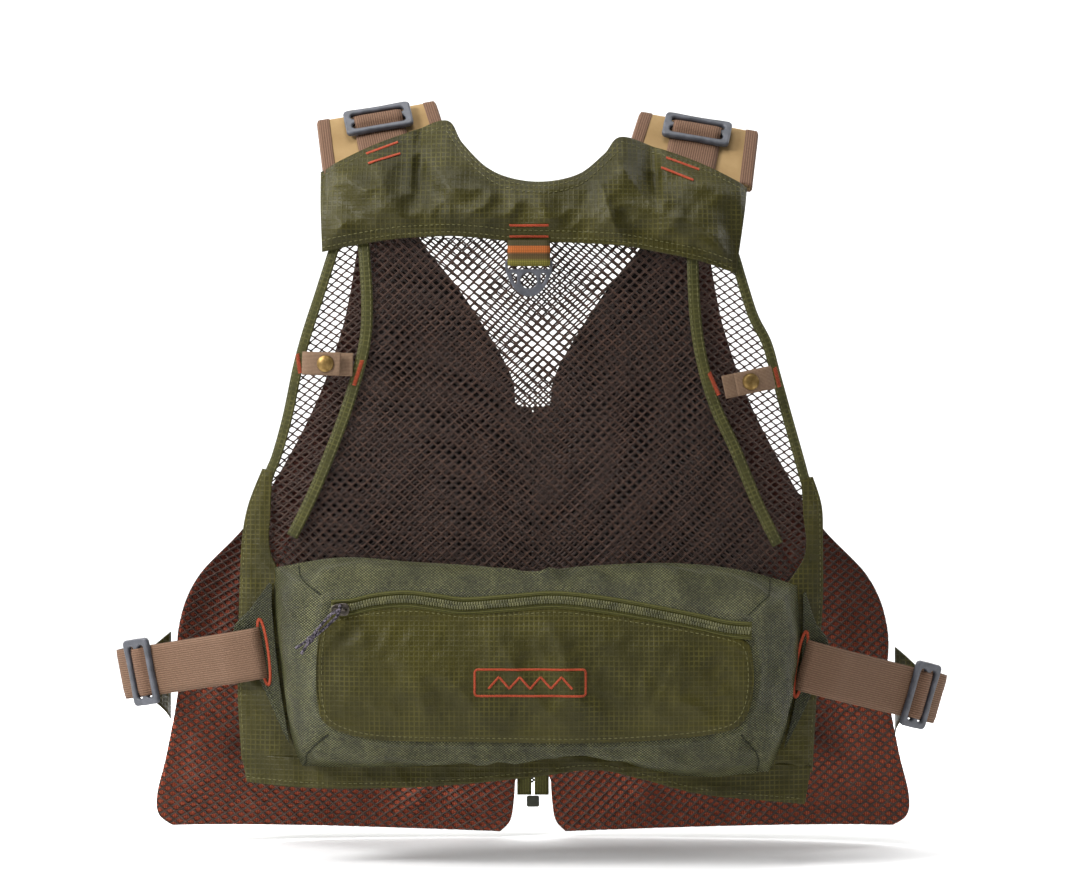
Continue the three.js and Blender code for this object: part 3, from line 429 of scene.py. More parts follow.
def on_back(layer):
    """A place on fabric layer n of the back; extra is millimetres further out."""
    return lambda x, z, extra=0.0: np.stack([x, back_y(x, z) - layer * LAYER - extra, z + 0 * x], -1)


def on_front(layer):
    return lambda x, z, extra=0.0: np.stack([x, front_y(x, z) + layer * LAYER + extra, z + 0 * x], -1)


# ---- Mesh helpers ------------------------------------------------------------------------


def piece(name, verts, faces, finish, body="root", replaces=None, uv=None, slot=None):
    """A Blender object from points in millimetres. uv holds one pair per vertex, in millimetres."""
    mesh = bpy.data.meshes.new(name)
    mesh.from_pydata((np.asarray(verts, float).reshape(-1, 3) * MM).tolist(), [], faces)
    mesh.polygons.foreach_set("use_smooth", [True] * len(mesh.polygons))
    if uv is not None:
        layer = mesh.uv_layers.new(name="cloth")
        pairs = np.asarray(uv, float).reshape(-1, 2) * MM
        loops = np.zeros(len(mesh.loops), int)
        mesh.loops.foreach_get("vertex_index", loops)
        layer.data.foreach_set("uv", pairs[loops].ravel())
    mesh.materials.append(finish)
    mesh.validate()
    made = bpy.data.objects.new(name, mesh)
    bpy.context.scene.collection.objects.link(made)
    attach(made, body)
    if replaces:
        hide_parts(replaces)
    return made


def spline(pairs, count):
    """count + 1 points of a smooth line through the pairs."""
    points = np.asarray(pairs, float)
    last = len(points) - 1
    t = np.linspace(0, last, count + 1)
    i = np.minimum(t.astype(int), last - 1)
    w = (t - i)[:, None]
    p0, p1 = points[np.maximum(i - 1, 0)], points[i]
    p2, p3 = points[i + 1], points[np.minimum(i + 2, last)]
    v0, v1 = (p2 - p0) / 2, (p3 - p1) / 2
    return (2 * p1 - 2 * p2 + v0 + v1) * w**3 + (3 * p2 - 3 * p1 - 2 * v0 - v1) * w**2 + v0 * w + p1


def uv_grid(across, along):
    """One UV pair, in millimetres, for each point of a grid."""
    return np.stack(np.broadcast_arrays(across, along), -1)


def even(points, step):
    """The same line with its points evenly spaced, about step apart."""
    points = np.asarray(points, float)
    gaps = np.linalg.norm(np.diff(points, axis=0), axis=1)
    run = np.concatenate([[0], np.cumsum(gaps)])
    count = max(int(round(run[-1] / step)), 1)
    at = np.linspace(0, run[-1], count + 1)
    return np.stack([np.interp(at, run, points[:, k]) for k in range(points.shape[1])], -1)


def smooth_path(pairs, step):
    return even(spline(pairs, 24 * (len(pairs) - 1)), step)


def grid_faces(rows, cols, closed=False):
    faces = []
    spans = cols if closed else cols - 1
    for r in range(rows - 1):
        for c in range(spans):
            d = (c + 1) % cols
            faces.append((r * cols + c, r * cols + d, (r + 1) * cols + d, (r + 1) * cols + c))
    return faces


def slab_faces(rows, cols, closed=False):
    """Faces of a solid between an outer grid and an inner grid of points."""
    outer = grid_faces(rows, cols, closed)
    size = rows * cols
    faces = outer + [tuple(size + i for i in reversed(f)) for f in outer]
    spans = cols if closed else cols - 1
    for c in range(spans):
        d = (c + 1) % cols
        faces.append((d, c, size + c, size + d))
        e = (rows - 1) * cols
        faces.append((e + c, e + d, size + e + d, size + e + c))
    if not closed:
        for r in range(rows - 1):
            a, b = r * cols, (r + 1) * cols
            faces.append((a, b, size + b, size + a))
            a, b = a + cols - 1, b + cols - 1
            faces.append((b, a, size + a, size + b))
    return faces


def slab(name, outer, inner, finish, closed=False, uv=None, **rest):
    rows, cols = outer.shape[:2]
    verts = np.concatenate([outer.reshape(-1, 3), inner.reshape(-1, 3)])
    if uv is not None:
        uv = np.concatenate([uv.reshape(-1, 2)] * 2)
    return piece(name, verts, slab_faces(rows, cols, closed), finish, uv=uv, **rest)


def wrinkles(x, z, seed, reach, amount, slant=0.0, stretch=1.0):
    """Soft creases, in millimetres: reach is their width, slant turns them, stretch draws them out."""
    co, si = math.cos(slant), math.sin(slant)
    across = (x * co + z * si).ravel() / reach
    along = (z * co - x * si).ravel() / (reach * stretch)
    values = []
    for a, b in zip(across, along):
        big = noise.noise(Vector((a, b, seed)))
        small = noise.noise(Vector((2.3 * a + 7, 2.3 * b, seed + 5)))
        values.append(1 - abs(2.2 * big) + 0.35 * small)
    return amount * np.clip(np.array(values).reshape(x.shape), -0.4, 1.2)


HEM_WIDTH = 9


def cloth(name, first, second, step, place, finish, thick=0.7, lift=None, hem=0.0, **rest):
    """A panel between two edges. lift(x, z) raises it, and hem thickens its borders."""
    a_line, b_line = (spline(e, 24 * (len(first) - 1)) for e in (first, second))
    length = np.linalg.norm(np.diff(a_line, axis=0), axis=1).sum()
    width = np.linalg.norm(a_line - b_line, axis=1).max()
    rows, cols = max(int(length / step), 2), max(int(width / step), 2)
    a, b = spline(first, rows), spline(second, rows)
    s = np.linspace(0, 1, cols + 1)[None, :]
    t = np.linspace(0, 1, rows + 1)[:, None]
    x = a[:, :1] * (1 - s) + b[:, :1] * s
    z = a[:, 1:] * (1 - s) + b[:, 1:] * s
    extra = lift(x, z) if lift else 0.0 * x
    if hem:
        wide = np.hypot(*(b - a).T)[:, None]
        near = np.minimum(np.minimum(t, 1 - t) * length, np.minimum(s, 1 - s) * wide)
        fold = np.clip((HEM_WIDTH - near) / 1.5, 0, 1) * np.clip((near + 0.6) / 1.2, 0, 1)
        extra = extra + hem * fold
    outer, inner = place(x, z, extra + thick), place(x, z, extra)
    return slab(name, outer, inner, finish, uv=np.stack([x, z], -1), **rest)


def offset_line(line, distance):
    """A flat line moved sideways; positive is to the left of the way it runs."""
    line = np.asarray(line, float)
    way = np.gradient(line, axis=0)
    way /= np.linalg.norm(way, axis=1)[:, None]
    return line + distance * np.stack([-way[:, 1], way[:, 0]], -1)


def tape(name, centre, width, place, finish, thick=0.9, crown=0.5, seed=1.0, **rest):
    """A sewn tape or binding along a flat line, a little crowned, with its weave along it."""
    line = smooth_path(centre, 2.0)
    shares = np.linspace(-0.5, 0.5, 7)
    flat = np.stack([offset_line(line, -share * width) for share in shares], 1)
    x, z = flat[..., 0], flat[..., 1]
    crowned = crown * (1 - (2 * shares[None, :]) ** 2) + 0 * x
    pucker = wrinkles(x, z, seed, 7, 0.22)
    uv = uv_grid(shares[None, :] * width, np.arange(len(line))[:, None] * 2.0)
    return slab(name, place(x, z, thick + crowned + pucker), place(x, z, 0 * x), finish, uv=uv, **rest)


def threads(name, segments, radius, finish, body="root"):
    """Short raised stitches. Each segment is (start, end, outward normal) in millimetres."""
    verts, faces = [], []
    stations = [(0.0, 0.45, -0.35), (0.22, 1.0, 0.25), (0.78, 1.0, 0.25), (1.0, 0.45, -0.35)]
    ring = [(math.cos(a), math.sin(a)) for a in np.arange(6) * math.pi / 3]
    for start, end, up in segments:
        start, end, up = (np.asarray(v, float) for v in (start, end, up))
        way = (end - start) / max(np.linalg.norm(end - start), 1e-6)
        side = np.cross(up, way)
        side /= np.linalg.norm(side)
        up = np.cross(way, side)
        base = len(verts)
        for share, size, rise in stations:
            centre = start + (end - start) * share + up * rise * radius
            verts += [centre + radius * size * (side * c + up * 0.75 * s) for c, s in ring]
        faces += [tuple(base + i for i in face) for face in grid_faces(4, 6, closed=True)]
        faces.append(tuple(base + c for c in reversed(range(6))))
        faces.append(tuple(base + 18 + c for c in range(6)))
    return piece(name, verts, faces, finish, body=body)


def stitches_on(place, line, extra, smooth=True):
    """Running stitches along a flat line on a surface, 2.6 mm long with gaps of 1.5 mm."""
    flat = smooth_path(line, 0.5) if smooth else even(line, 0.5)
    solid = place(flat[:, 0], flat[:, 1], np.full(len(flat), float(extra)))
    above = place(flat[:, 0], flat[:, 1], np.full(len(flat), extra + 1.0))
    every, reach = 8, 5
    return [
        (solid[i], solid[i + reach], above[i] - solid[i])
        for i in range(0, len(flat) - reach - 1, every)
    ]


def satin_on(place, line, extra, width=1.6, pitch=0.42):
    """Satin stitches laid side by side across a flat line on a surface."""
    flat = even(line, pitch)
    left, right = offset_line(flat, width / 2), offset_line(flat, -width / 2)
    a = place(left[:, 0], left[:, 1], np.full(len(flat), float(extra)))
    b = place(right[:, 0], right[:, 1], np.full(len(flat), float(extra)))
    over = place(flat[:, 0], flat[:, 1], np.full(len(flat), extra + 1.0))
    under = place(flat[:, 0], flat[:, 1], np.full(len(flat), float(extra)))
    last = len(flat) - 1
    return [(a[i], b[min(i + 1, last)], over[i] - under[i]) for i in range(last + 1)]


# ---- Net ---------------------------------------------------------------------------------


def inside(points, outline):
    x, z = points[:, None, 0], points[:, None, 1]
    ax, az = outline[:, 0], outline[:, 1]
    bx, bz = np.roll(ax, -1), np.roll(az, -1)
    crosses = (az > z) != (bz > z)
    at = ax + (z - az) * (bx - ax) / np.where(bz == az, 1e-9, bz - az)
    return (np.sum(crosses & (x < at), axis=1) % 2) == 1


def nearest(points, outline):
    a, b = outline, np.roll(outline, -1, axis=0)
    way = b - a
    rel = points[:, None, :] - a[None]
    share = np.clip((rel * way).sum(-1) / np.maximum((way**2).sum(-1), 1e-9), 0, 1)
    near = a[None] + share[..., None] * way
    pick = np.argmin(((points[:, None, :] - near) ** 2).sum(-1), axis=1)
    return near[np.arange(len(points)), pick]


def ease(value):
    u = np.clip(value, 0, 1)
    return u * u * (3 - 2 * u)


def edge_gap(x, z, outline):
    flat = np.stack([np.ravel(x), np.ravel(z)], -1)
    return np.linalg.norm(flat - nearest(flat, outline), axis=1).reshape(np.shape(x))


def drape(x, z, outline, fade, *layers):
    """Folds that die away towards the outline. Each layer is (seed, reach, amount, slant, stretch)."""
    return ease(edge_gap(x, z, outline) / fade) * sum(wrinkles(x, z, *layer) for layer in layers)


DIAMOND = [(2, 0), (1, 1), (0, 2), (-1, 1), (-2, 0), (-1, -1), (0, -2), (1, -1)]
HOLE_SHARES = [0.80, 0.78, 0.66, 0.78, 0.80, 0.78, 0.66, 0.78]
NET_PITCH = (7.8, 7.5)
SIDE_PITCH = (8.0, 6.2)
NET_THICK = 0.9
SMALLEST_CELL = 3


def net(name, outline, place, finish, turn=0.0, phase=(0.0, 0.0), sway=0.0, pitch=NET_PITCH,
        hole=1.0, **rest):
    """An open net of diamond holes cut to a flat outline. Its strands are thickest at the middle."""
    outline = np.asarray(outline, float)
    co, si = math.cos(turn), math.sin(turn)
    half = np.array(pitch) / 2
    centre = outline.mean(axis=0)
    reach = np.linalg.norm(outline - centre, axis=1).max()
    most = (int(reach / half[0]) + 2, int(reach / half[1]) + 2)

    def flat(keys):
        local = np.asarray(keys, float) / 2 * half + phase
        x, z = (local + sway * np.sin(local[:, ::-1] / 46.0)).T
        return centre + np.stack([x * co - z * si, x * si + z * co], -1)

    wide, high = (range(-m, m + 1) for m in most)
    cells = [(2 * i, 2 * j) for i in wide for j in high if (i + j) % 2 == 0]
    corners = [[(i + dx, j + dz) for dx, dz in DIAMOND] for i, j in cells]
    keys = sorted({k for cell in corners for k in cell})
    number = {k: n for n, k in enumerate(keys)}
    points = flat(keys)
    within = inside(points, outline)
    points[~within] = nearest(points[~within], outline)

    used, faces, holes, hole_at = {}, [], [], []
    for cell in corners:
        ids = [number[k] for k in cell]
        if not any(within[i] for i in ids):
            continue
        ring = points[ids]
        if area_of(ring) < SMALLEST_CELL:
            continue
        middle = ring.mean(axis=0)
        hole_at.append([used.setdefault(i, len(used)) for i in ids])
        holes.append(middle + (ring - middle) * hole * np.array(HOLE_SHARES)[:, None])
    rim = points[list(used)]
    count = len(rim)
    hole_points = np.concatenate(holes)
    edges = {}
    for n, ids in enumerate(hole_at):
        for k in range(8):
            m = (k + 1) % 8
            a, b = ids[k], ids[m]
            if a == b:
                continue
            h, g = 2 * count + 8 * n + k, 2 * count + 8 * n + m
            faces.append((a, b, g, h))
            faces.append((count + b, count + a, h, g))
            key = (min(a, b), max(a, b))
            edges[key] = None if key in edges else (a, b)
    faces += [(b, a, count + a, count + b) for a, b in filter(None, edges.values())]
    high, low = np.full(count, NET_THICK / 2), np.full(count, -NET_THICK / 2)
    verts = np.concatenate([
        place(rim[:, 0], rim[:, 1], high),
        place(rim[:, 0], rim[:, 1], low),
        place(hole_points[:, 0], hole_points[:, 1], np.zeros(len(hole_points))),
    ])
    return piece(name, verts, faces, finish, **rest)


# ---- Straps and plates -------------------------------------------------------------------


def ribbon(name, centre, across, up, width, thick, matrix, finish, step=2.0, **rest):
    """Webbing along a line of points, given the ways its width and its outer face point at each."""
    shares = np.linspace(-0.5, 0.5, 9)
    rounding = np.sqrt(np.maximum(1 - (2 * np.abs(shares)) ** 10, 0.12))

    def face(height):
        local = (centre[:, None, :] + across[:, None, :] * (shares * width)[None, :, None]
                 + up[:, None, :] * (height * rounding)[None, :, None])
        return moved(local, matrix)

    uv = uv_grid(shares[None, :] * width, np.arange(len(centre))[:, None] * step)
    return slab(name, face(thick / 2), face(-thick / 2), finish, uv=uv, **rest)


def strap(name, path, width, matrix, axes, thick, finish, step=1.5, **rest):
    """Webbing along a path of (u, v) pairs; axes are the ways that u, v and the width run."""
    line = smooth_path(path, step)
    up = offset_line(line, 1.0) - line
    u_axis, v_axis, w_axis = (np.array(a, float) for a in axes)
    centre = line[:, :1] * u_axis + line[:, 1:] * v_axis
    upward = up[:, :1] * u_axis + up[:, 1:] * v_axis
    across = np.tile(w_axis, (len(line), 1))
    return ribbon(name, centre, across, upward, width, thick, matrix, finish, step, **rest)


def moved(points, matrix):
    m = np.array(matrix)
    return points @ m[:3, :3].T + m[:3, 3]


def translation(x, y, z):
    return Matrix.Translation((x, y, z))


def rotation(angle, axis):
    return Matrix.Rotation(angle, 4, axis)


def basis(x_way, y_way, z_way):
    """The turn that takes the three axes to the three ways."""
    return Matrix((x_way, y_way, z_way)).transposed().to_4x4()


def plate(name, outlines, thick, bevel, finish, matrix, **rest):
    """A moulded plate from closed outlines in its own XY plane, with rounded edges."""
    curve = bpy.data.curves.new(name, "CURVE")
    curve.dimensions = "2D"
    curve.fill_mode = "BOTH"
    curve.extrude = (thick / 2 - bevel) * MM
    curve.bevel_depth = bevel * MM
    curve.offset = -bevel * MM
    curve.bevel_resolution = 2
    for outline in outlines:
        points = np.asarray(outline, float)
        flat = curve.splines.new("POLY")
        flat.points.add(len(points) - 1)
        flat.use_cyclic_u = True
        for target, (x, y) in zip(flat.points, points * MM):
            target.co = (x, y, 0, 1)
    source = bpy.data.objects.new(name, curve)
    bpy.context.scene.collection.objects.link(source)
    bpy.context.view_layer.update()
    made = bpy.data.meshes.new_from_object(source.evaluated_get(bpy.context.evaluated_depsgraph_get()))
    bpy.data.objects.remove(source)
    verts = np.array([v.co for v in made.vertices]) / MM
    faces = [tuple(p.vertices) for p in made.polygons]
    bpy.data.meshes.remove(made)
    shown = piece(name, moved(verts, matrix), faces, finish, **rest)
    shown.data.set_sharp_from_angle(angle=math.radians(35))
    return shown


def round_rect(width, height, radius, cx=0.0, cy=0.0, steps=5):
    points = []
    for quarter, (sx, sy) in enumerate([(1, -1), (1, 1), (-1, 1), (-1, -1)]):
        for a in np.linspace(quarter - 1, quarter, steps) * math.pi / 2:
            points.append((cx + sx * (width / 2 - radius) + radius * math.cos(a),
                           cy + sy * (height / 2 - radius) + radius * math.sin(a)))
    return points


def lathe(name, profile, matrix, finish, sides=48, **rest):
    """A solid turned about its own Z axis; the profile of (radius, height) starts and ends on it."""
    angles = np.arange(sides) * 2 * math.pi / sides
    ring = [(r * math.cos(a), r * math.sin(a), h) for r, h in profile[1:-1] for a in angles]
    verts = ring + [(0, 0, profile[0][1]), (0, 0, profile[-1][1])]
    rows = len(profile) - 2
    faces = grid_faces(rows, sides, closed=True)
    low, high = len(ring), len(ring) + 1
    faces += [(low, (c + 1) % sides, c) for c in range(sides)]
    top = (rows - 1) * sides
    faces += [(high, top + c, top + (c + 1) % sides) for c in range(sides)]
    shown = piece(name, moved(np.array(verts), matrix), faces, finish, **rest)
    shown.data.set_sharp_from_angle(angle=math.radians(50))
    return shown


def chaikin(points, passes=2):
    """A closed outline with its corners cut round."""
    points = np.asarray(points, float)
    for _ in range(passes):
        ahead = np.roll(points, -1, axis=0)
        pair = [0.75 * points + 0.25 * ahead, 0.25 * points + 0.75 * ahead]
        points = np.stack(pair, 1).reshape(-1, 2)
    return points


def mirrored(pairs, side):
    return [(x * side, z) for x, z in pairs]


def shifted(pairs, dx, dz=0.0):
    return [(x + dx, z + dz) for x, z in pairs]


def outline_of(first, second, step=5):
    """The closed outline of a panel spanned between two edges."""
    return np.concatenate([smooth_path(first, step), smooth_path(second, step)[::-1]])


def area_of(outline):
    x, z = np.asarray(outline, float).T
    return 0.5 * abs(np.sum(x * np.roll(z, -1) - z * np.roll(x, -1)))


def declare_sheet(outline):
    """Turns a panel's outline into an array of points, and does nothing more with it."""
    outline = np.asarray(outline, float)


NET_SHARE = 0.55
SIDE_NET_SHARE = 0.48

# ---- Back: nets, yoke, tapes and side panels ---------------------------------------------

LEFT_SEAM = [
    (-124, -90), (-121, -137), (-123, -170), (-134, -210), (-147, -245), (-162, -280),
    (-177, -310), (-188, -332),
]
RIGHT_SEAM = [
    (116, -96), (118, -145), (123, -180), (133, -214), (148, -246), (164, -284), (180, -316),
    (195, -339),
]
LEFT_ARMHOLE = [
    (-143, -92), (-155, -130), (-165, -160), (-172, -185), (-180, -222), (-188, -250),
    (-196, -275), (-196, -318),
]
RIGHT_ARMHOLE = [
    (147, -104), (160, -146), (171, -168), (178, -192), (186, -220), (196, -254), (204, -280),
    (202, -326),
]
YOKE_TOP = [
    (-157, -41), (-122, -23), (-92, -11), (-64, -2), (-52, -20), (-34, -39), (-14, -48), (10, -50),
    (34, -44), (52, -29), (66, -15), (100, -26), (130, -38), (158, -53),
]
YOKE_BOTTOM = [
    (-154, -102), (-128, -97), (-102, -93), (-78, -91.5), (-58, -91), (-38, -92.5), (-16, -95),
    (8, -95.5), (30, -96), (52, -97), (72, -99), (96, -103.5), (122, -109), (148, -118),
]


def back_nets():
    left = [(-124, -75), *LEFT_SEAM[1:], (-186, -400), (-172, -470)]
    right = [(116, -85), *RIGHT_SEAM[1:], (190, -400), (174, -470)]
    for name, edges, layer, finish, node, held, share, weave in [
        ("back_lining_net", (left, right), 0, NET_INNER, "back_lining", "hung", NET_SHARE,
         dict(turn=0.035, phase=(1.7, 1.1), sway=2.2)),
        ("back_panel_net", (shifted(LEFT_SEAM, 1.5), shifted(RIGHT_SEAM, -1.5)), 1, NET,
         "back_mesh_panel", "stretched", NET_SHARE, dict(turn=-0.012, sway=1.2)),
        ("left_side_net", (LEFT_ARMHOLE, shifted(LEFT_SEAM, -1.5)), 1, NET,
         "left_side_mesh", "stretched", SIDE_NET_SHARE,
         dict(turn=0.1, phase=(0, 1.2), pitch=SIDE_PITCH)),
        ("right_side_net", (shifted(RIGHT_SEAM, 1.5), RIGHT_ARMHOLE), 1, NET,
         "right_side_mesh", "stretched", SIDE_NET_SHARE,
         dict(turn=-0.1, phase=(1.2, 0), pitch=SIDE_PITCH)),
    ]:
        edge = outline_of(*edges)
        made = net(name, edge, on_back(layer), finish, replaces=node, slot="mesh", **weave)
        declare_sheet(edge)


def on_yoke(x, z, extra=0.0):
    """On the yoke's folded cloth, which is drawn in onto the pads and rises over their buckles.
    Nothing extra is its underside."""
    outline = outline_of(YOKE_TOP, YOKE_BOTTOM, 8)
    folds = drape(x, z, outline, 20, (3.1, 40, 11.0, 0.6, 2.8), (8.4, 17, 2.4, -0.7, 1.3))
    left = x < 0
    pad_end = np.where(left, -74, -82)
    drawn_in = np.where(left, 12, 16) * ease((np.abs(x) - 62) / 34) * ease((z - pad_end) / 38)
    from_buckle = np.abs(x - np.where(left, -118, 124))
    raised = np.where(left, 9.5, 11) * ease((36 - from_buckle) / 9) * ease((z - pad_end) / 30)
    return on_back(3)(x, z, 0.9 + folds - drawn_in + raised + extra)


def yoke():
    made = cloth("back_yoke_cloth", YOKE_TOP, YOKE_BOTTOM, 1.8, on_yoke, RIPSTOP, hem=0.5,
                 replaces="back_yoke", slot="ripstop")
    declare_sheet(outline_of(YOKE_TOP, YOKE_BOTTOM))
    seams = []
    for dz in (3.2, 8.4):
        seams += stitches_on(on_yoke, shifted(YOKE_BOTTOM, 0, dz), 1.3)
    neck = YOKE_TOP[3:11]
    for dz in (-3.4, -8.6):
        seams += stitches_on(on_yoke, shifted(neck, 0, dz), 1.3)
    seams += stitches_on(on_yoke, shifted(YOKE_TOP[:4], 1, -4), 1.3)
    seams += stitches_on(on_yoke, shifted(YOKE_TOP[10:], -1, -4), 1.3)
    threads("back_yoke_topstitching", seams, BOLD_STITCH, GREEN_THREAD)


def bar_tacks():
    tacks = []
    for line in [
        [(-123, -28), (-100, -19)], [(-121, -36), (-98, -28)],
        [(98, -31), (122, -40)], [(94, -39), (117, -49)],
        [(-17, -83.5), (11, -83.5)], [(-17, -91.5), (11, -91.5)],
    ]:
        tacks += satin_on(on_yoke, line, 1.5, width=1.9, pitch=0.62)
    for line in [
        [(-172.5, -176), (-170.5, -190)], [(177, -186), (180.5, -200)],
        [(-124.5, -181), (-130.5, -199)], [(128.5, -190), (135.5, -206)],
    ]:
        tacks += satin_on(on_back(2), line, 1.9, width=3.2, pitch=1.0)
    threads("bar_tacks", tacks, SATIN_STITCH, ORANGE_THREAD)


def back_tapes():
    place = on_back(2)
    left = [*LEFT_ARMHOLE[:-2], (-193, -262), (-197, -274)]
    right = [*RIGHT_ARMHOLE[:-2], (200, -268), (204, -280)]
    for name, line, width, node in [
        ("left_seam_binding", LEFT_SEAM[:-1], 8.5, "left_seam_tape"),
        ("right_seam_binding", RIGHT_SEAM[:-1], 8.5, "right_seam_tape"),
        ("left_armhole_edging", left, 7.5, "left_armhole_binding"),
        ("right_armhole_edging", right, 7.5, "right_armhole_binding"),
    ]:
        made = tape(name, line, width, place, BINDING, seed=len(line) + width,
                    replaces=node, slot="ripstop")
        flat = smooth_path(line, 2.0)
        seams = []
        for side in (-1, 1):
            seams += stitches_on(place, offset_line(flat, side * (width / 2 - 1.5)), 1.25, smooth=False)
        threads(name + "_stitching", seams, FINE_STITCH, GREEN_THREAD)


LEFT_PANEL = (
    [(-199, -260), (-210, -287), (-215, -314), (-217, -357), (-218, -400), (-218, -432), (-215, -476)],
    [(-191, -262), (-193, -290), (-193, -322), (-178, -352), (-174, -400), (-170, -432), (-165, -478)],
)
RIGHT_PANEL = (
    [(197, -268), (199, -294), (200, -324), (180, -358), (176, -400), (172, -432), (165, -481)],
    [(206, -266), (213, -288), (214, -315), (214, -357), (211, -400), (209, -432), (206, -484)],
)


def side_panels():
    place = on_back(2)
    for name, (first, second), seed in [("left", LEFT_PANEL, 1.3), ("right", RIGHT_PANEL, 6.2)]:
        outline = outline_of(first, second, 8)

        def lift(x, z):
            broad, fine = (seed, 20, 1.7, 0.9, 2.4), (seed + 3, 9, 0.5, -0.4, 1.0)
            return 0.9 + drape(x, z, outline, 8, broad, fine)

        made = cloth(name + "_side_panel_cloth", first, second, 1.8, place, RIPSTOP, lift=lift,
                     hem=0.35, replaces=name + "_back_side_panel", slot="ripstop")
        declare_sheet(outline_of(first, second))
        outer = first if name == "left" else second
        inwards = 1 if name == "left" else -1
        seams = stitches_on(place, shifted(outer, inwards * 2.4), 2.1)
        threads(name + "_side_panel_stitching", seams, STITCH, GREEN_THREAD)


HEM_TOP = [
    (-215, -474), (-171, -476), (-120, -474), (-60, -470), (0, -464), (45, -460), (80, -472),
    (122, -480), (173, -480), (205, -483),
]
HEM_BOTTOM = [
    (-211, -491), (-171, -494), (-120, -494), (-60, -491), (0, -485), (45, -480), (80, -487),
    (122, -498), (173, -504), (200, -507),
]


def hem_band():
    place = on_back(2)

    def lift(x, z):
        return 1.9 + wrinkles(x, z, 4.4, 17, 1.1, slant=0.3, stretch=1.4)

    made = cloth("back_hem_cloth", shifted(HEM_TOP, 0, 4), HEM_BOTTOM, 1.6, place, RIPSTOP,
                 lift=lift, hem=0.3, replaces="back_hem_band", slot="ripstop")
    declare_sheet(outline_of(HEM_TOP, HEM_BOTTOM))
    seams = stitches_on(place, shifted(HEM_BOTTOM, 0, 4), 3.6)
    threads("back_hem_stitching", seams, BOLD_STITCH, GREEN_THREAD)


# ---- Back pocket -------------------------------------------------------------------------

POCKET_BASE = [
    (-190, -333), (-140, -325), (-90, -328), (-40, -331), (0, -335), (40, -331), (100, -329),
    (150, -334), (195, -346), (197, -395), (187, -450), (173, -484), (122, -486), (80, -479),
    (45, -468), (0, -470), (-60, -476), (-120, -479), (-170, -479), (-179, -450), (-186, -400),
    (-190, -362),
]
POCKET_RIM = [
    (-151, -353), (-110, -347), (-75, -347), (-38, -350), (0, -347), (34, -348), (63, -352),
    (107, -359), (154, -368), (164, -400), (161, -430), (150, -450), (121, -457), (80, -460),
    (45, -461), (0, -461), (-60, -460), (-110, -458), (-146, -449), (-156, -436), (-157, -412),
    (-155, -382),
]
POCKET_CORNERS = (0, 8, 11, 18)
STEPS_PER_PAIR = 10
POCKET_FACE_Y = -130
POCKET_CENTRE = (5.0, -404.0)
FACE_GAP = 0.4
ZIP_START, ZIP_END = (-146, -361), (158, -377)


def closed_loop(pairs):
    """A smooth closed loop through the pairs, with sharp corners kept where the pocket has them."""
    points = np.asarray(pairs, float)
    size = len(points)
    sides = []
    for start, stop in zip(POCKET_CORNERS, [*POCKET_CORNERS[1:], size + POCKET_CORNERS[0]]):
        side = points[[i % size for i in range(start, stop + 1)]]
        sides.append(spline(side, STEPS_PER_PAIR * (stop - start))[:-1])
    return np.concatenate(sides)


def pocket_gusset():
    base, rim = closed_loop(POCKET_BASE), closed_loop(POCKET_RIM)
    count = len(base)
    base3 = on_back(3)(base[:, 0], base[:, 1], np.zeros(count))
    rim3 = np.stack([rim[:, 0], np.full(count, POCKET_FACE_Y + 0.0), rim[:, 1]], -1)
    corner_at = np.array(POCKET_CORNERS) * STEPS_PER_PAIR
    seam_shift = (4, -5, 2, 0)

    def seam_at(share):
        """Where the four seams cross the cloth; they slant between the base and the rim."""
        return [c + shift * (1 - share) for c, shift in zip(corner_at, seam_shift)]

    shares = np.linspace(0, 1, 22)
    centre = np.array(POCKET_CENTRE)
    rows = []
    for share in shares:
        apart = [np.abs(np.arange(count) - c) for c in seam_at(share)]
        gap = np.min([np.minimum(a, count - a) for a in apart], axis=0)
        line = base3 * (1 - share) + rim3 * share
        flat = line[:, [0, 2]] - centre
        way = flat / np.linalg.norm(flat, axis=1)[:, None]
        creased = wrinkles(line[:, 0], line[:, 2], 2.7 + share, 20, 4.0, slant=0.8, stretch=1.8)
        seam = 3.0 * math.sin(math.pi * share) ** 0.5 * np.exp(-((gap / 2.0) ** 2))
        puff = (4.6 + creased) * math.sin(math.pi * share) ** 1.5 - seam
        line = line + np.stack([way[:, 0] * puff, -0.45 * puff, way[:, 1] * puff], -1)
        rows.append(line)
    lip = rim3.copy()
    lip[:, 0] += (centre[0] - lip[:, 0]) * 0.06
    lip[:, 2] += (centre[1] - lip[:, 2]) * 0.16
    lip[:, 1] += 0.5
    rows.append(rim3 * 0.4 + lip * 0.6)
    rows.append(lip)
    outer = np.stack(rows)
    inner = outer.copy()
    inner[..., 1] += 0.8
    inner[..., 0] += (centre[0] - inner[..., 0]) * 0.006
    inner[..., 2] += (centre[1] - inner[..., 2]) * 0.014
    made = slab("back_pocket_gusset_cloth", outer, inner, SAGE, closed=True,
                replaces="back_pocket_gusset", slot="coarse_cloth")
    gusset_stitching(outer, [seam_at(share) for share in shares])


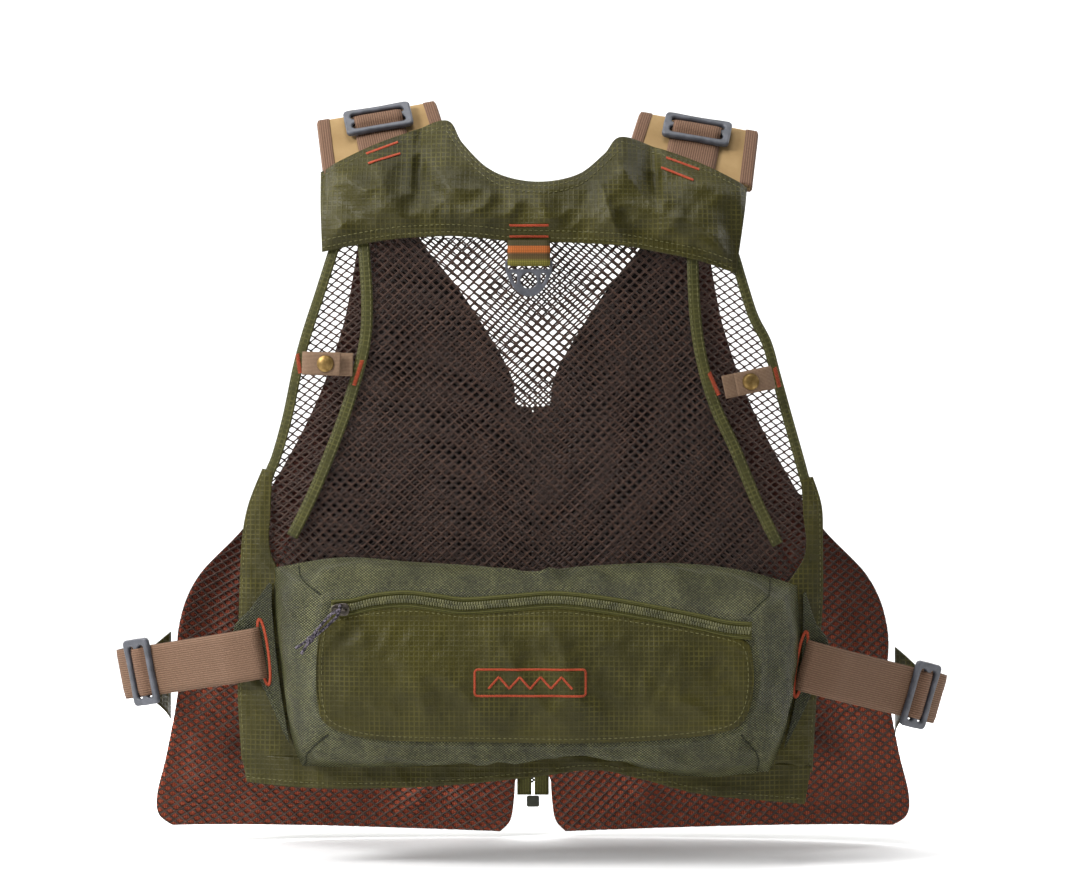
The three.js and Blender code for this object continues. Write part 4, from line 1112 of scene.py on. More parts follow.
def gusset_stitching(outer, seams_at):
    """Two rows of stitches along the top edge, and four seams, each a dark line of painted seam shadow
    with stitches beside it.
    seams_at holds, for each row of the cloth, where the four seams cross it."""
    count = outer.shape[1]
    seams, seam_shadow_lines = [], []
    top_end = POCKET_CORNERS[1] * STEPS_PER_PAIR
    for row in (1, 2):
        seams += along_solid(outer[row][:top_end + 1], (0, -1, 0.4), 2.6, 1.6)
    for k in range(4):
        for offset, found, length, gap in ((-1.2, seams, 2.4, 1.4), (0, seam_shadow_lines, 3.0, 0.1)):
            line = []
            for row in range(1, 21):
                spot = (seams_at[row][k] + offset) % count
                here, following = outer[row][int(spot)], outer[row][(int(spot) + 1) % count]
                line.append(here * (1 - spot % 1) + following * (spot % 1))
            found += along_solid(line, (0, -1, 0), length, gap)
    threads("back_pocket_stitching", seams, STITCH, SAGE_THREAD)
    # painted shade: nearly unbroken dark lines along the seams stand for their shadow
    threads("back_pocket_seam_shadows", seam_shadow_lines, 0.7, SEAM_SHADE)


def along_solid(line, up, length, gap):
    """Running stitches along a line of points in space."""
    fine = even(line, 0.5)
    every, reach = int((length + gap) / 0.5), int(length / 0.5)
    up = np.asarray(up, float)
    above = fine + 0.15 * up
    return [(above[i], above[i + reach], up) for i in range(0, len(fine) - reach - 1, every)]


FACE_TOP = [
    (-156.5, -408), (-155.5, -386), (-150, -369), (-120, -361.5), (-85, -359.5), (-50, -364),
    (-15, -362), (20, -360), (55, -364.5), (90, -370.5), (125, -377), (153, -384.5), (158.5, -396),
    (159.5, -412),
]
FACE_BOTTOM = [
    (-156.5, -410), (-155.5, -430), (-149, -445), (-123, -454.5), (-85, -457), (-50, -457.5),
    (-15, -458), (20, -458.5), (55, -458), (90, -456), (125, -452.5), (148, -446.5), (157, -432),
    (159.5, -414),
]


def on_face(x, z, extra=0.0):
    """On the stuffed and creased face of the pocket; nothing extra is its underside."""
    outline = outline_of(FACE_TOP, FACE_BOTTOM, 8)
    across = np.clip((x + 157) / 320, 0, 1)
    up = np.clip((z + 459) / 92, 0, 1)
    crown = 5.0 * np.sin(math.pi * across) * np.sin(math.pi * up)
    folds = drape(x, z, outline, 26, (9.3, 44, 5.0, 0.45, 2.8), (5.9, 15, 1.2, -0.5, 1.2))
    seat = 0.9 * ease(edge_gap(x, z, outline) / 5) - 0.3
    return np.stack([x, POCKET_FACE_Y - seat - crown - folds - extra, z + 0 * x], -1)


def pocket_face():
    made = cloth("back_pocket_face_cloth", FACE_TOP, FACE_BOTTOM, 1.8, on_face, FACE_RIPSTOP, hem=0.6,
                 replaces="back_pocket_face", slot="ripstop")
    outline = outline_of(FACE_TOP, FACE_BOTTOM)
    declare_sheet(outline)
    emblem(lambda x, z, extra=0.0: on_face(x, z, 0.7 + extra))
    centre = outline.mean(axis=0)
    inset = centre + (outline - centre) * (0.975, 0.93)
    seams = stitches_on(on_face, inset, 1.3, smooth=False)
    threads("back_pocket_face_stitching", seams, STITCH, GREEN_THREAD)


def emblem(above):
    """A plain stitched badge: a long box with a zigzag in it."""
    cx, cz, half_w, half_h = -2, -414, 40, 9.5
    box = round_rect(2 * half_w, 2 * half_h, 2, cx, cz, 4)
    stitches = satin_on(above, [*box, box[0]], 0.15, width=1.7, pitch=0.62)
    zigzag = [(cx - 30 + 7.5 * i, cz + (4.2 if i % 2 else -4.2)) for i in range(9)]
    stitches += satin_on(above, zigzag, 0.15, width=1.7, pitch=0.62)
    threads("pocket_badge", stitches, SATIN_STITCH, ORANGE_THREAD)


# ---- Zips --------------------------------------------------------------------------------

CLOTH = 1.2
ZIP_TAPE = 13
TOOTH_PITCH = 1.9
COIL_HEIGHT = 1.8
BAR_HEIGHT = 6.4
SLIDER_BASE = CLOTH + COIL_HEIGHT + 0.4


def zip_chain(name, length, frame_of, drift=None, **rest):
    """Two tapes that meet under a coil of teeth; the zip runs along X and faces -Y.
    drift(x) is how far the cloth has carried the zip sideways."""
    stations = np.linspace(0, length, int(length / 3))
    shares = np.linspace(-1, 1, 19)
    drift = drift or (lambda x: 0 * x)

    def side(height):
        z = shares[None, :] * ZIP_TAPE / 2 + drift(stations)[:, None]
        lip = 1.2 * np.exp(-(((np.abs(shares) * ZIP_TAPE / 2 - 4.8) / 0.8) ** 2))
        y = -(height + lip[None, :] + 0.25 * np.sin(stations / 9)[:, None] * np.abs(shares)[None, :])
        local = np.stack([stations[:, None] + 0 * y, y, z + 0 * y], -1)
        return moved(local, frame_of)

    uv = uv_grid(shares[None, :] * ZIP_TAPE / 2, stations[:, None])
    slab(name + "_tape", side(0.75), side(0.1), TAPE, uv=uv, slot="zip_tape", **rest)
    teeth = []
    up = np.array(frame_of.to_3x3() @ Vector((0, -1, 0)))
    for i in range(int(length / TOOTH_PITCH)):
        middle = i * TOOTH_PITCH + 0.5
        off = float(drift(np.array(middle)))
        for step, z0, z1 in ((-0.48, -2.9, 0.35), (0.48, -0.35, 2.9)):
            x = middle + step
            start, end = moved(np.array([[x, -1.7, z0 + off], [x, -1.7, z1 + off]]), frame_of)
            teeth.append((start, end, up))
    threads(name + "_coil", teeth, 0.8, COIL)


def zip_slider(name, slider_frame, node):
    """A cast slider: a shield-shaped plate and the bridge that its cord goes round."""
    flat = slider_frame @ rotation(math.pi / 2, "X")
    shield = chaikin([(-6.5, -3), (3, -5), (6.5, -3.4), (6.5, 3.4), (3, 5), (-6.5, 3)], 2)
    plate(name + "_plate", [shield], 2.0, 0.45, GUNMETAL, flat @ translation(0, 0, 1.0),
          body=node, replaces=node, slot="zip_metal")
    arch = [
        (-5, 1.4), (-5, 4.8), (-3.6, 7), (3.6, 7), (5, 4.8), (5, 1.4), (3.4, 1.4), (3.4, 5),
        (2.6, 5.8), (-2.6, 5.8), (-3.4, 5), (-3.4, 1.4),
    ]
    facing = slider_frame @ Matrix.Scale(-1, 4, (0, 1, 0))
    plate(name + "_bridge", [arch], 1.8, 0.35, GUNMETAL, facing, body=node, slot="zip_metal")


CORD_RADIUS = 1.1
LOOP_RADIUS = 2.8
TURN = [(0, LOOP_RADIUS * math.cos(a), LOOP_RADIUS * math.sin(a)) for a in np.arange(7) * math.pi / 6]
LOOP_ROUND_BAR = (
    [(1.6, 1.4, -18), (2, 2.4, -6)], TURN, [(-2, -2.2, -6), (-1.6, -0.6, -18)],
)
LOOP_AS_BAIL = (
    [(2.2, 1.6, -16)],
    [(3, 2.3, -6), (2.7, 2.3, -1), (0, 2.3, 0.6), (-2.7, 2.3, -1), (-3, 2.3, -6)],
    [(-2.2, 1.6, -16)],
)
CORD_LOOP = 30
KNOT = [
    (0, -3), (1.5, -2.7), (2.5, -1.6), (2.2, -0.5), (2.65, 0.5), (2.3, 1.8), (1.3, 2.7), (0, 3),
]


def cord_pull(name, pull_frame, lean, node, loop=LOOP_ROUND_BAR):
    """The looped cord as two strands that meet on the bar, its knot, and the frayed tails."""
    leaning = pull_frame @ rotation(lean, "Y")
    behind, turn, before = loop
    half = len(turn) // 2
    strands = []
    for sign, lower, upper in (
        (1, behind[::-1], turn[:half + 1][::-1]),
        (-1, before, turn[half:]),
    ):
        tail = [(sign * 0.5, 0.3 + 0.3 * sign, -CORD_LOOP), (sign * 1.4, 0.3, -CORD_LOOP - 5),
                (sign * 2.8, 0.2, -CORD_LOOP - 12)]
        on_bar = moved(np.array(upper, float), pull_frame)
        below = moved(np.array([*lower, *tail], float), leaning)
        strands.append(np.concatenate([on_bar, below]))
    knot = lathe(name + "_knot", KNOT, leaning @ translation(0, 0.2, -CORD_LOOP - 0.5), CORD,
                 sides=20, body=node)
    for label, strand in zip(("long", "short"), strands):
        curve = bpy.data.curves.new(name + "_" + label, "CURVE")
        curve.dimensions = "3D"
        curve.bevel_depth = CORD_RADIUS * MM
        curve.bevel_resolution = 3
        curve.use_fill_caps = True
        fine = even(spline(strand, 12 * (len(strand) - 1)), 0.8)
        line = curve.splines.new("POLY")
        line.points.add(len(fine) - 1)
        for target, point in zip(line.points, fine * MM):
            target.co = (*point, 1)
        curve.materials.append(CORD)
        made = bpy.data.objects.new(name + "_" + label + "_strand", curve)
        bpy.context.scene.collection.objects.link(made)
        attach(made, node)
        first = label == "long"
        if first:
            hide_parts(node)


ZIP_CENTRE = [
    (-146, -361), (-132, -360), (-115, -356), (-92, -354), (-70, -356.5), (-50, -359), (-20, -357),
    (15, -354.5), (50, -358), (85, -364), (120, -371), (140, -375.5), (158, -377),
]


def back_zip():
    """The zip starts and ends on its straight path; the slack cloth carries its middle upwards."""
    (x0, z0), (x1, z1) = ZIP_START, ZIP_END
    wavy = spline(ZIP_CENTRE, 120)

    def drift(x):
        level = z0 + (z1 - z0) * x / (x1 - x0)
        return np.interp(x + x0, wavy[:, 0], wavy[:, 1]) - level

    group = translation(x0, POCKET_FACE_Y - FACE_GAP, z0) @ rotation(math.atan2(z0 - z1, x1 - x0), "Y")
    length = math.hypot(x1 - x0, z1 - z0)
    zip_chain("back_pocket_zip", length, group, drift, replaces="back_zip")
    slider = group @ translation(7, -SLIDER_BASE, 0)
    zip_slider("back_zip_slider_cast", slider, "back_zip_slider")
    pull = slider @ translation(0, -BAR_HEIGHT, 0)
    cord_pull("back_zip_cord", pull, math.radians(42), "back_zip_pull")


# ---- Side straps -------------------------------------------------------------------------

SLOTS = {
    "left": dict(x=-198, z=-395, lean=8, drop=11),
    "right": dict(x=197, z=-404, lean=9.6, drop=16),
}
LEFT_TAB = (
    [(-194, -344), (-207, -362), (-221, -381), (-203, -412), (-182, -456)],
    [(-192, -345), (-191.5, -365), (-188, -400), (-184, -430), (-178.5, -462)],
)
RIGHT_TAB = (
    [(198.5, -352), (198.5, -372), (197.5, -400), (191.5, -436), (184, -466)],
    [(200.5, -351), (208, -373), (218, -392), (204, -428), (187, -461)],
)
STRAP_PATH = [
    (0.3, -86.2), (2.6, -89.6), (8, -90.5), (26, -83), (38.9, -72.2), (69, -47), (99.1, -21.8),
    (112, -11), (116.5, -5), (117.5, 1), (115, 7), (108, 19), (101, 31),
]
STRAP_STRAIGHT = (26, -83), (112, -11)
SIDE_SLIDER_AT = 93
WEBBING = 1.6
WEBBING_WIDTH = 38
SLOT_HALF_WIDTH, SLOT_HALF_HEIGHT = 3.4, 24.5
LYING_ALONG_X = ((1, 0, 0), (0, 1, 0), (0, 0, 1))
LYING_ALONG_Y = ((0, 1, 0), (0, 0, 1), (1, 0, 0))


def strap_tabs():
    place = on_back(3)
    for name, (first, second), side in [("left", LEFT_TAB, -1), ("right", RIGHT_TAB, 1)]:
        def lift(x, z):
            return 2.6 + wrinkles(x, z, 3 + side, 14, 0.5, slant=0.8)

        made = cloth(name + "_tab_cloth", first, second, 1.5, place, SAGE_DARK, lift=lift,
                     hem=0.4, replaces=name + "_strap_tab", slot="coarse_cloth")
        declare_sheet(outline_of(first, second))
        slot = SLOTS[name]
        lean = -side * math.radians(slot["lean"])
        co, si = math.cos(lean), math.sin(lean)
        oval = []
        for a in np.linspace(0, 2 * math.pi, 90):
            u, v = SLOT_HALF_WIDTH * math.cos(a), SLOT_HALF_HEIGHT * math.sin(a)
            oval.append((slot["x"] + u * co - v * si, slot["z"] + u * si + v * co))
        border = satin_on(place, oval, 4.1, width=2.2, pitch=0.55)
        threads(name + "_slot_stitching", border, SATIN_STITCH, ORANGE_THREAD)
        outer = first if side < 0 else second
        seams = stitches_on(place, [(x - side * 2.4, z) for x, z in outer[1:]], 3.9)
        threads(name + "_tab_stitching", seams, STITCH, SAGE_THREAD)


def tri_glide(name, matrix, node):
    """The buckle: a waisted frame with two slots, and the webbing rolled over its middle bar."""
    corner = [(25.5, 0), (25.2, 8), (25.4, 10.2), (24, 12.8), (20.5, 13.5), (10, 12.9), (0, 12.7)]
    upper = corner + [(-x, y) for x, y in reversed(corner[:-1])]
    frame_line = upper + [(x, -y) for x, y in reversed(upper[1:-1])]
    slots = [round_rect(40, 6.0, 2.6, 0, dy, 6) for dy in (-5.3, 5.3)]
    plate(name + "_frame", [chaikin(frame_line, 1), *slots], 4.4, 1.5, PLASTIC,
          matrix @ translation(0, 0, 1.6), body=node, replaces=node, slot="plastic")
    roll = [(-8.0, 0.5), (-5.6, 1.9), (-3.2, 3.7), (0, 4.3), (3.2, 3.7), (5.6, 1.9), (8.0, 0.5)]
    strap(name + "_webbing_roll", roll, WEBBING_WIDTH - 2, matrix, LYING_ALONG_Y, 1.4, WEB,
          step=0.8, body=node, slot="webbing")


def side_straps():
    for name, side in (("left", -1), ("right", 1)):
        slot = SLOTS[name]
        drop = rotation(side * math.radians(slot["drop"]), "Y")
        group = translation(slot["x"], 0, slot["z"]) @ drop
        path = [(side * out, y) for out, y in STRAP_PATH]
        made = strap(name + "_side_strap_webbing", path, WEBBING_WIDTH, group, LYING_ALONG_X,
                     WEBBING, WEB_ELASTIC, replaces=name + "_side_strap", slot="webbing")
        start, end = (Vector((side * out, y, 0)) for out, y in STRAP_STRAIGHT)
        way = (end - start).normalized()
        away = Vector((way.y * side, -way.x * side, 0))
        spot = start + way * SIDE_SLIDER_AT + away * (WEBBING / 2 + 0.4)
        tri_glide(name + "_side_buckle", group @ translation(*spot) @ basis(way.cross(away), way, away),
                  name + "_side_slider")


# ---- Shoulders ---------------------------------------------------------------------------

PAD_PATH = [
    (-74, -43), (-36, -3.1), (-26, 0.8), (-10, 1.4), (12, 0), (32, -6), (52, -18), (68, -37),
    (79, -58), (85, -78),
]
PAD_WIDTHS = (96, 74)
PAD_THICKNESS = 7
PAD_EDGE = 1.3
PAD_STRAIGHT = (-74, -43), (-36, -3.1)
SHOULDERS = {"left": (-120, 7), "right": (127, -1)}
SHOULDER_ROLL, SHOULDER_YAW = math.radians(10), math.radians(4)
SHOULDER_SLIDER_AT = 46


def pad_line(distance):
    """The pad's line moved away from the pad, as evenly spaced (y, z) points."""
    return offset_line(smooth_path(PAD_PATH, 2.0), distance)


def shoulder_pad(name, side, matrix):
    """The padded yoke and the webbing that binds its two long edges."""
    line, up = pad_line(0), pad_line(1) - pad_line(0)
    count = len(line)
    run = np.linspace(0, 1, count)
    half = (PAD_WIDTHS[0] + (PAD_WIDTHS[1] - PAD_WIDTHS[0]) * run) / 2
    shares = np.linspace(-1, 1, 41)
    edge_in = np.clip((1 - np.abs(shares)) / 0.16, 0, 1)
    crown = (1 - (1 - edge_in) ** 2) ** 0.5

    def side_of(way):
        """The pad's top for 1, which is a little puckered, and its underside for -1."""
        x = shares[None, :] * half[:, None]
        soft = wrinkles(x, run[:, None] * 240 + 0 * x, 4.0 + side, 19, 0.3)
        sunk = 0.2 + soft * (0.5 if way > 0 else 0)
        swell = (PAD_EDGE + (PAD_THICKNESS / 2 - PAD_EDGE) * crown)[None, :]
        height = -PAD_THICKNESS / 2 + way * swell - way * sunk
        flat = line[:, None, :] + up[:, None, :] * height[..., None]
        return moved(np.concatenate([x[..., None], flat], -1), matrix)

    uv = uv_grid(shares[None, :] * half[:, None], run[:, None] * 236)
    pad = slab(name + "_shoulder_padding", side_of(1), side_of(-1), TAN, uv=uv,
               replaces=name + "_shoulder_pad", slot="pad_cloth")
    for edge in (-1, 1):
        centre = np.stack([edge * (half - 4.8), *(line - up * PAD_THICKNESS / 2).T], -1)
        across = np.tile([1.0, 0, 0], (count, 1))
        upward = np.concatenate([np.zeros((count, 1)), up], -1)
        ribbon(f"{name}_pad_binding_{'inner' if edge * side < 0 else 'outer'}", centre, across, upward,
               11, PAD_THICKNESS + 0.9, matrix, WEB, slot="webbing")


def shoulder(name, side):
    x, z = SHOULDERS[name]
    matrix = (translation(x, 0, z) @ rotation(side * SHOULDER_ROLL, "Y")
              @ rotation(-side * SHOULDER_YAW, "Z"))
    shoulder_pad(name, side, matrix)
    middle = pad_line(0.4 + WEBBING / 2)
    band = strap(name + "_shoulder_webbing_band", middle, WEBBING_WIDTH, matrix, LYING_ALONG_Y,
                 WEBBING, WEB, replaces=name + "_shoulder_webbing", slot="webbing")
    start, end = (Vector((0, y, z)) for y, z in PAD_STRAIGHT)
    along = (end - start).normalized()
    away = Vector((0, -along.z, along.y))
    spot = start + along * SHOULDER_SLIDER_AT + away * (WEBBING + 2 * 0.4 + 0.8)
    tri_glide(name + "_shoulder_buckle", matrix @ translation(*spot) @ basis((1, 0, 0), along, away),
              name + "_shoulder_slider")


# ---- Net ring ----------------------------------------------------------------------------

RING = (-3, -122.2, -109)
LOOP_BEND = 3.7
LOOP_WIDTH = 31


def net_ring():
    half = [(0, -26.4), (6, -25), (11, -20.5), (15.4, -12), (17.4, -6), (17, 2.2)]
    around = half + [(-x, z) for x, z in reversed(half[1:])]
    eye = [(6 * math.cos(a), -14.6 + 6 * math.sin(a)) for a in np.arange(32) * math.pi / 16]
    window = [(8.6, -9.4), (12.8, -9), (11.6, -14.2), (9.2, -18), (8.6, -14)]
    windows = [chaikin(mirrored(window, side), 1) for side in (-1, 1)]
    slot = round_rect(30.4, 4.6, 1.2, 0, -4.1)
    plate("net_ring_moulding", [chaikin(around, 2), slot, eye, *windows], 3.5, 0.8, PLASTIC,
          translation(*RING) @ rotation(math.pi / 2, "X"), body="net_ring", replaces="net_ring",
          slot="plastic")
    bend = [(LOOP_BEND * math.cos(a), LOOP_BEND * math.sin(a))
            for a in np.linspace(math.pi, 2 * math.pi, 9)]
    loop = [(1.4, 14.5), (-2.2, 10), (-LOOP_BEND, 5), *bend, (LOOP_BEND, 5), (LOOP_BEND, 9.5)]
    made = strap("net_ring_loop_webbing", loop, LOOP_WIDTH, translation(*RING), LYING_ALONG_Y, 1.2,
                 LOOP_WEB, step=0.7, replaces="net_ring_webbing", slot="loop_webbing")


# ---- Snap tabs ---------------------------------------------------------------------------

SNAPS = {"left": (-169, -183, 2), "right": (176, -193, 12)}
SNAP_AT = 19
TAB_HEIGHT = 17
SNAP_CAP = [
    (0, 0), (6.2, 0), (6.3, 0.4), (6.0, 0.9), (5.3, 1.0), (4.9, 1.35), (3.4, 1.95), (1.6, 2.15),
    (0, 2.2),
]
SNAP_STUD = [(0, 0), (3, 0), (3, 0.7), (1.8, 1.1), (2.1, 2.2), (0, 2.4)]


def snap_tab(name, side):
    x, z, lean = SNAPS[name]
    inwards = -side
    here, there = (float(back_y(np.array(v), np.array(float(z)))) for v in (x, x + inwards * 40))
    y = here - 3 * LAYER - 2 * CLOTH - 0.4
    group = (translation(x, y, z) @ rotation(inwards * math.radians(lean), "Y")
             @ rotation(inwards * math.atan2(there - here, 40), "Z"))
    body = name + "_snap_tab"
    path = mirrored([(0.6, 0), (8, -3), (30, -3.6)], inwards)
    made = strap(name + "_snap_strap_webbing", path, TAB_HEIGHT, group, LYING_ALONG_X, 1.2, TWILL,
                 step=1.0, body=body, replaces=name + "_snap_strap", slot="webbing")
    path = mirrored([(12, 2.2), (38, 2.2)], inwards)
    base = strap(name + "_snap_base_webbing", path, TAB_HEIGHT, group, LYING_ALONG_X, 1.2, TWILL,
                 step=1.0, replaces=name + "_snap_base", slot="webbing")
    outwards = rotation(math.pi / 2, "X")
    lathe(name + "_snap_cap_dome", SNAP_CAP,
          group @ translation(SNAP_AT * inwards, -4.35, 0) @ outwards, BRASS, body=body,
          replaces=name + "_snap_cap", slot="snap_brass")
    lathe(name + "_snap_stud", SNAP_STUD, group @ translation(SNAP_AT * inwards, 1.6, 0) @ outwards,
          BRASS, sides=24, slot="snap_brass")


# ---- Front -------------------------------------------------------------------------------

FRONT_INNER = [
    (92, -74), (84, -88), (62, -115), (40, -147), (18, -186), (14, -214), (14, -290), (14, -370),
    (14, -440), (14, -500), (15, -524), (18, -540), (26, -548.5),
]
FRONT_FACING = [
    (92, -74), (84, -88), (62, -115), (40, -147), (18, -186), (14.5, -204), (14, -211),
    (7, -212.2), (1, -212.6), (0.5, -217), (0.5, -235), (0.5, -290), (0.5, -370), (0.5, -440),
    (0.5, -492), (13, -505), (15, -524), (18, -540), (26, -548.5),
]
FRONT_OUTER = [
    (136, -77), (139, -94), (144, -122), (152, -155), (170, -206), (196, -258), (226, -306),
    (262, -346), (276, -385), (276, -430), (284, -480), (291, -512), (290, -529), (280, -538),
]
WINGS = {"left": -422, "right": -434}
WING_ROOT = (281.5, 55)
WING_TIP_Y = 29
WING_HALF = (34, 20)
CHEST_SLOPE = 0.07


def front_half(name, side):
    inner, outer = mirrored(FRONT_INNER, side), mirrored(FRONT_OUTER, side)
    facing = mirrored(FRONT_FACING, side)
    edge = outline_of(facing, outer)
    coarse = outline_of(facing, outer, 12)

    def slack(x, z, extra=0.0):
        """The net and its lining hang in folds inside the outer cloth."""
        folds = drape(x, z, coarse, 30, (5.5 + side, 46, 5.5, side * 0.3, 2.6))
        return on_front(0)(x, z, extra - np.maximum(folds, -0.4))

    made = net(name + "_front_net", edge, slack, NET_FRONT, turn=side * 0.12, phase=(0.8, 0),
               sway=3.0, pitch=(8.2, 6.8), hole=0.86, replaces=name + "_front_mesh", slot="mesh")
    declare_sheet(edge)
    lining = cloth(name + "_front_lining", facing, outer, 6,
                   lambda x, z, extra: slack(x, z, extra + 0.9), RUST, thick=0.35, slot="mesh")
    declare_sheet(edge)

    def lift(x, z):
        return 0.2 + wrinkles(x, z, 7 + side, 46, 1.0, slant=0.4, stretch=2)

    shell = cloth(name + "_front_cloth", inner, outer, 4, on_front(1), RIPSTOP, lift=lift,
                  hem=0.3, replaces=name + "_front_shell", slot="ripstop")
    declare_sheet(outline_of(inner, outer))
    edge_stitching(name + "_front_stitching", on_front(1), inner, outer, side, (2.6, 7.6), 1.9)


def edge_stitching(name, place, inner, outer, side, insets, extra):
    """Running stitches along a front panel's two edges, that far in from them."""
    seams = []
    for line, way in ((inner, 1), (outer, -1)):
        flat = smooth_path(line, 2.0)
        for inset in insets:
            seams += stitches_on(place, offset_line(flat, side * way * inset), extra, smooth=False)
    threads(name, seams, STITCH, GREEN_THREAD)


def front_wing(name, side):
    """The cloth wedge that joins the front's side edge to the end of the strap."""
    z = WINGS[name]
    drop = math.radians(SLOTS[name]["drop"])
    reach = abs(SLOTS[name]["x"]) + STRAP_PATH[-1][0] * math.cos(drop) - 4
    normal = np.array([26, 15.5, 0]) / math.hypot(26, 15.5)
    t, s = np.meshgrid(np.linspace(0, 1, 14), np.linspace(-1, 1, 22), indexing="ij")
    x = WING_ROOT[0] + (reach - WING_ROOT[0]) * t
    y = WING_ROOT[1] + (WING_TIP_Y - WING_ROOT[1]) * t
    half = WING_HALF[0] + (WING_HALF[1] - WING_HALF[0]) * t
    tilt = math.tan(drop) * t
    swell = 0.25 + 0.7 * np.sin(math.pi * t) * np.cos(s * 2.6)

    def grid(out):
        lift = out + swell
        across = x + lift * normal[0] + s * half * tilt
        return np.stack([side * across, y + lift * normal[1], z + s * half], -1)

    made = slab(name + "_front_wing_cloth", grid(0.8), grid(0), RIPSTOP,
                replaces=name + "_front_wing", slot="ripstop")


def lower_face_y(x):
    return 146 - 0.13 * (np.abs(x) - 24)


def chest_face_y(x):
    return 124 - CHEST_SLOPE * (np.abs(x) - 36)


def pouch(name, inner, outer, face_y, margin, open_top, seed, node):
    """Cloth that rises from the front to a flat face within a margin of its edges."""
    height = abs(inner[-1][1] - inner[0][1])
    rows, cols = int(height / 2.4), int(abs(outer[1][0] - inner[1][0]) / 2.4)
    a, b = spline(inner, rows), spline(outer, rows)
    s, t = np.linspace(0, 1, cols + 1)[None, :], np.linspace(0, 1, rows + 1)[:, None]
    x = a[:, :1] * (1 - s) + b[:, :1] * s
    z = a[:, 1:] * (1 - s) + b[:, 1:] * s
    down = (1 - t if open_top else np.minimum(t, 1 - t)) + 0 * s
    across = np.minimum(s, 1 - s) * np.abs(b[:, :1] - a[:, :1])
    rise = ease(across / margin) * ease(down * height / margin)
    base = on_front(2)(x, z, 0 * x)[..., 1]
    broad = wrinkles(x, z, seed, 38, 1.6, slant=0.6, stretch=2.2)
    folds = rise * (broad + wrinkles(x, z, seed + 3, 12, 0.5))
    y = base + (face_y(x) - base) * rise
    outer_grid = np.stack([x, y + 0.9 + folds, z], -1)
    inner_grid = np.stack([x, y + 0.1 + folds, z], -1)
    made = slab(name, outer_grid, inner_grid, RIPSTOP, replaces=node, slot="ripstop")
    declare_sheet(outline_of(inner, outer))
    side = np.sign(inner[0][0])
    edge_stitching(name + "_stitching", on_front(2), inner, outer, side, (1.6,), 1.1)


def lower_pocket(name, side):
    inner = mirrored([(24, -298), (24, -372), (24, -440), (30, -515)], side)
    outer = mirrored([(216, -324), (250, -376), (257, -440), (258, -515)], side)
    pouch(name + "_lower_pocket_cloth", inner, outer, lower_face_y, 26, False, 3.3 + side,
          name + "_lower_pocket")
    start, end = (Vector((side * x, float(lower_face_y(x)) + CLOTH + 0.4, z))
                  for x, z in ((58, -334), (200, -354)))
    forwards = (end - start).normalized()
    inwards = (Vector((0, -1, 0)) + forwards * forwards.y).normalized()
    group = translation(*start) @ basis(forwards, inwards, forwards.cross(inwards))
    zip_chain(name + "_lower_pocket_zip", (end - start).length, group,
              replaces=name + "_pocket_zip")
    slider = group @ translation(8, -SLIDER_BASE, 0)
    zip_slider(name + "_pocket_slider_cast", slider, name + "_pocket_zip_slider")
    fall = math.atan2(start.z - end.z, abs(end.x - start.x))
    pull = slider @ translation(0, -BAR_HEIGHT, 0) @ rotation(math.pi if side > 0 else 0, "Y")
    cord_pull(name + "_pocket_cord", pull, side * fall, name + "_pocket_zip_pull")


FLAP_WIDTH = 98
FLAP = [(0.4, -0.6), (6, -1.2), (12, -2.2), (18.5, -5.5), (22, -12), (22, -36)]


def chest_pocket(name, side):
    inner = mirrored([(44, -166), (36, -210), (34, -264)], side)
    outer = mirrored([(134, -166), (142, -210), (146, -264)], side)
    pouch(name + "_chest_pocket_cloth", inner, outer, chest_face_y, 16, True, 6.6 + side,
          name + "_chest_pocket")
    hinge = translation(side * 88, 107.5, -156) @ rotation(-side * math.atan(CHEST_SLOPE), "Z")
    flap = name + "_chest_flap"
    made = strap(flap + "_cloth", FLAP, FLAP_WIDTH, hinge, LYING_ALONG_Y, 1.0, SAGE,
                 step=1.5, body=flap, replaces=flap, slot="coarse_cloth")


FRONT_ZIP_TOP, FRONT_ZIP_BOTTOM = -216, -520
FRONT_TOOTH_PITCH = 2.6
HALF_TAPE = 12


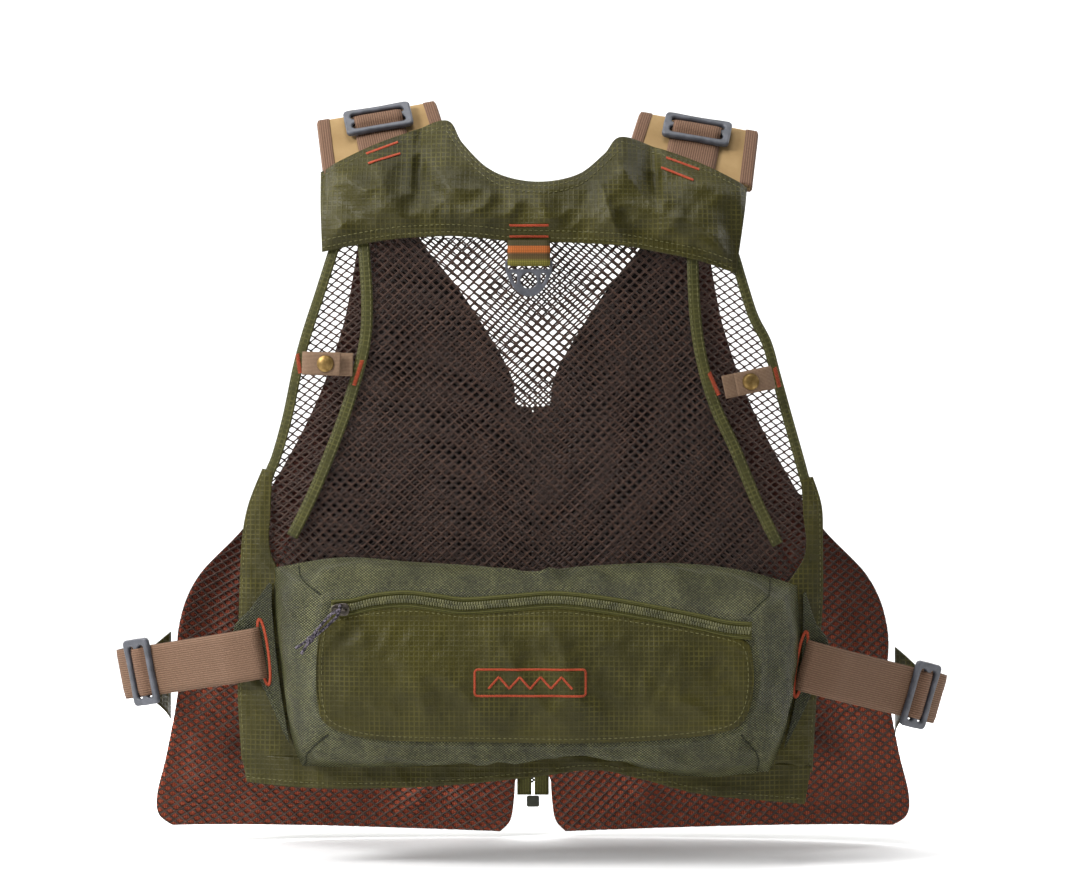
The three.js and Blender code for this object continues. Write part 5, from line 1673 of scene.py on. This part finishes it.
def front_zip():
    def point(z):
        return Vector((0, float(front_y(np.array(0.0), z)) + LAYER, z))

    top, bottom = point(FRONT_ZIP_TOP), point(FRONT_ZIP_BOTTOM)
    down = (bottom - top).normalized()
    back = Vector((0, down.z, -down.y))
    group = translation(*top) @ basis(down, back, down.cross(back))
    length = (bottom - top).length
    # The group's Z axis points to the left.
    for name, side in (("left", 1), ("right", -1)):
        stations = np.linspace(0, length, 90)
        shares = np.linspace(0.05, 1, 7)

        def side_of(height):
            z = side * (0.6 + shares * HALF_TAPE)
            y = -(height + 0.12 * np.sin(stations / 11)[:, None] * shares[None, :])
            return moved(np.stack([stations[:, None] + 0 * y, y, z[None, :] + 0 * y], -1), group)

        uv = uv_grid(shares[None, :] * HALF_TAPE, stations[:, None])
        slab(name + "_front_zip_webbing", side_of(1.1), side_of(0.2), TAPE, uv=uv,
             replaces=name + "_front_zip_tape", slot="zip_tape")
        teeth = []
        up = np.array(group.to_3x3() @ Vector((0, -1, 0)))
        for i in range(int((length - 8) / FRONT_TOOTH_PITCH)):
            x = 1.2 + FRONT_TOOTH_PITCH * i + (FRONT_TOOTH_PITCH / 2 if side > 0 else 0)
            start, end = moved(np.array([[x, -1.5, -side * 0.5], [x, -1.5, side * 3.1]]), group)
            teeth.append((start, end, up))
        threads(name + "_front_zip_teeth", teeth, 0.85, BLACK_PLASTIC)
    plate("front_zip_retainer", [round_rect(9, 10, 1.5)], 2.4, 0.5, BLACK_PLASTIC,
          group @ translation(length + 5, 0, 0) @ rotation(math.pi / 2, "X") @ translation(0, 0, 1.2),
          replaces="front_zip_box", slot="plastic")
    slider = group @ translation(8, -SLIDER_BASE, 0)
    zip_slider("front_zip_slider_cast", slider, "front_zip_slider")
    pull = slider @ translation(0, -BAR_HEIGHT, 0) @ rotation(-math.pi / 2, "Y")
    cord_pull("front_zip_cord", pull, 0, "front_zip_pull", LOOP_AS_BAIL)


# ---- Assembly ----------------------------------------------------------------------------

studio()
back_zip()
front_zip()
for half_name, half_side in (("left", -1), ("right", 1)):
    lower_pocket(half_name, half_side)
cyclorama()
back_nets()
yoke()
back_tapes()
side_panels()
hem_band()
pocket_gusset()
pocket_face()
strap_tabs()
net_ring()
bar_tacks()
side_straps()
for half_name, half_side in (("left", -1), ("right", 1)):
    shoulder(half_name, half_side)
    snap_tab(half_name, half_side)
    front_half(half_name, half_side)
    front_wing(half_name, half_side)
    chest_pocket(half_name, half_side)
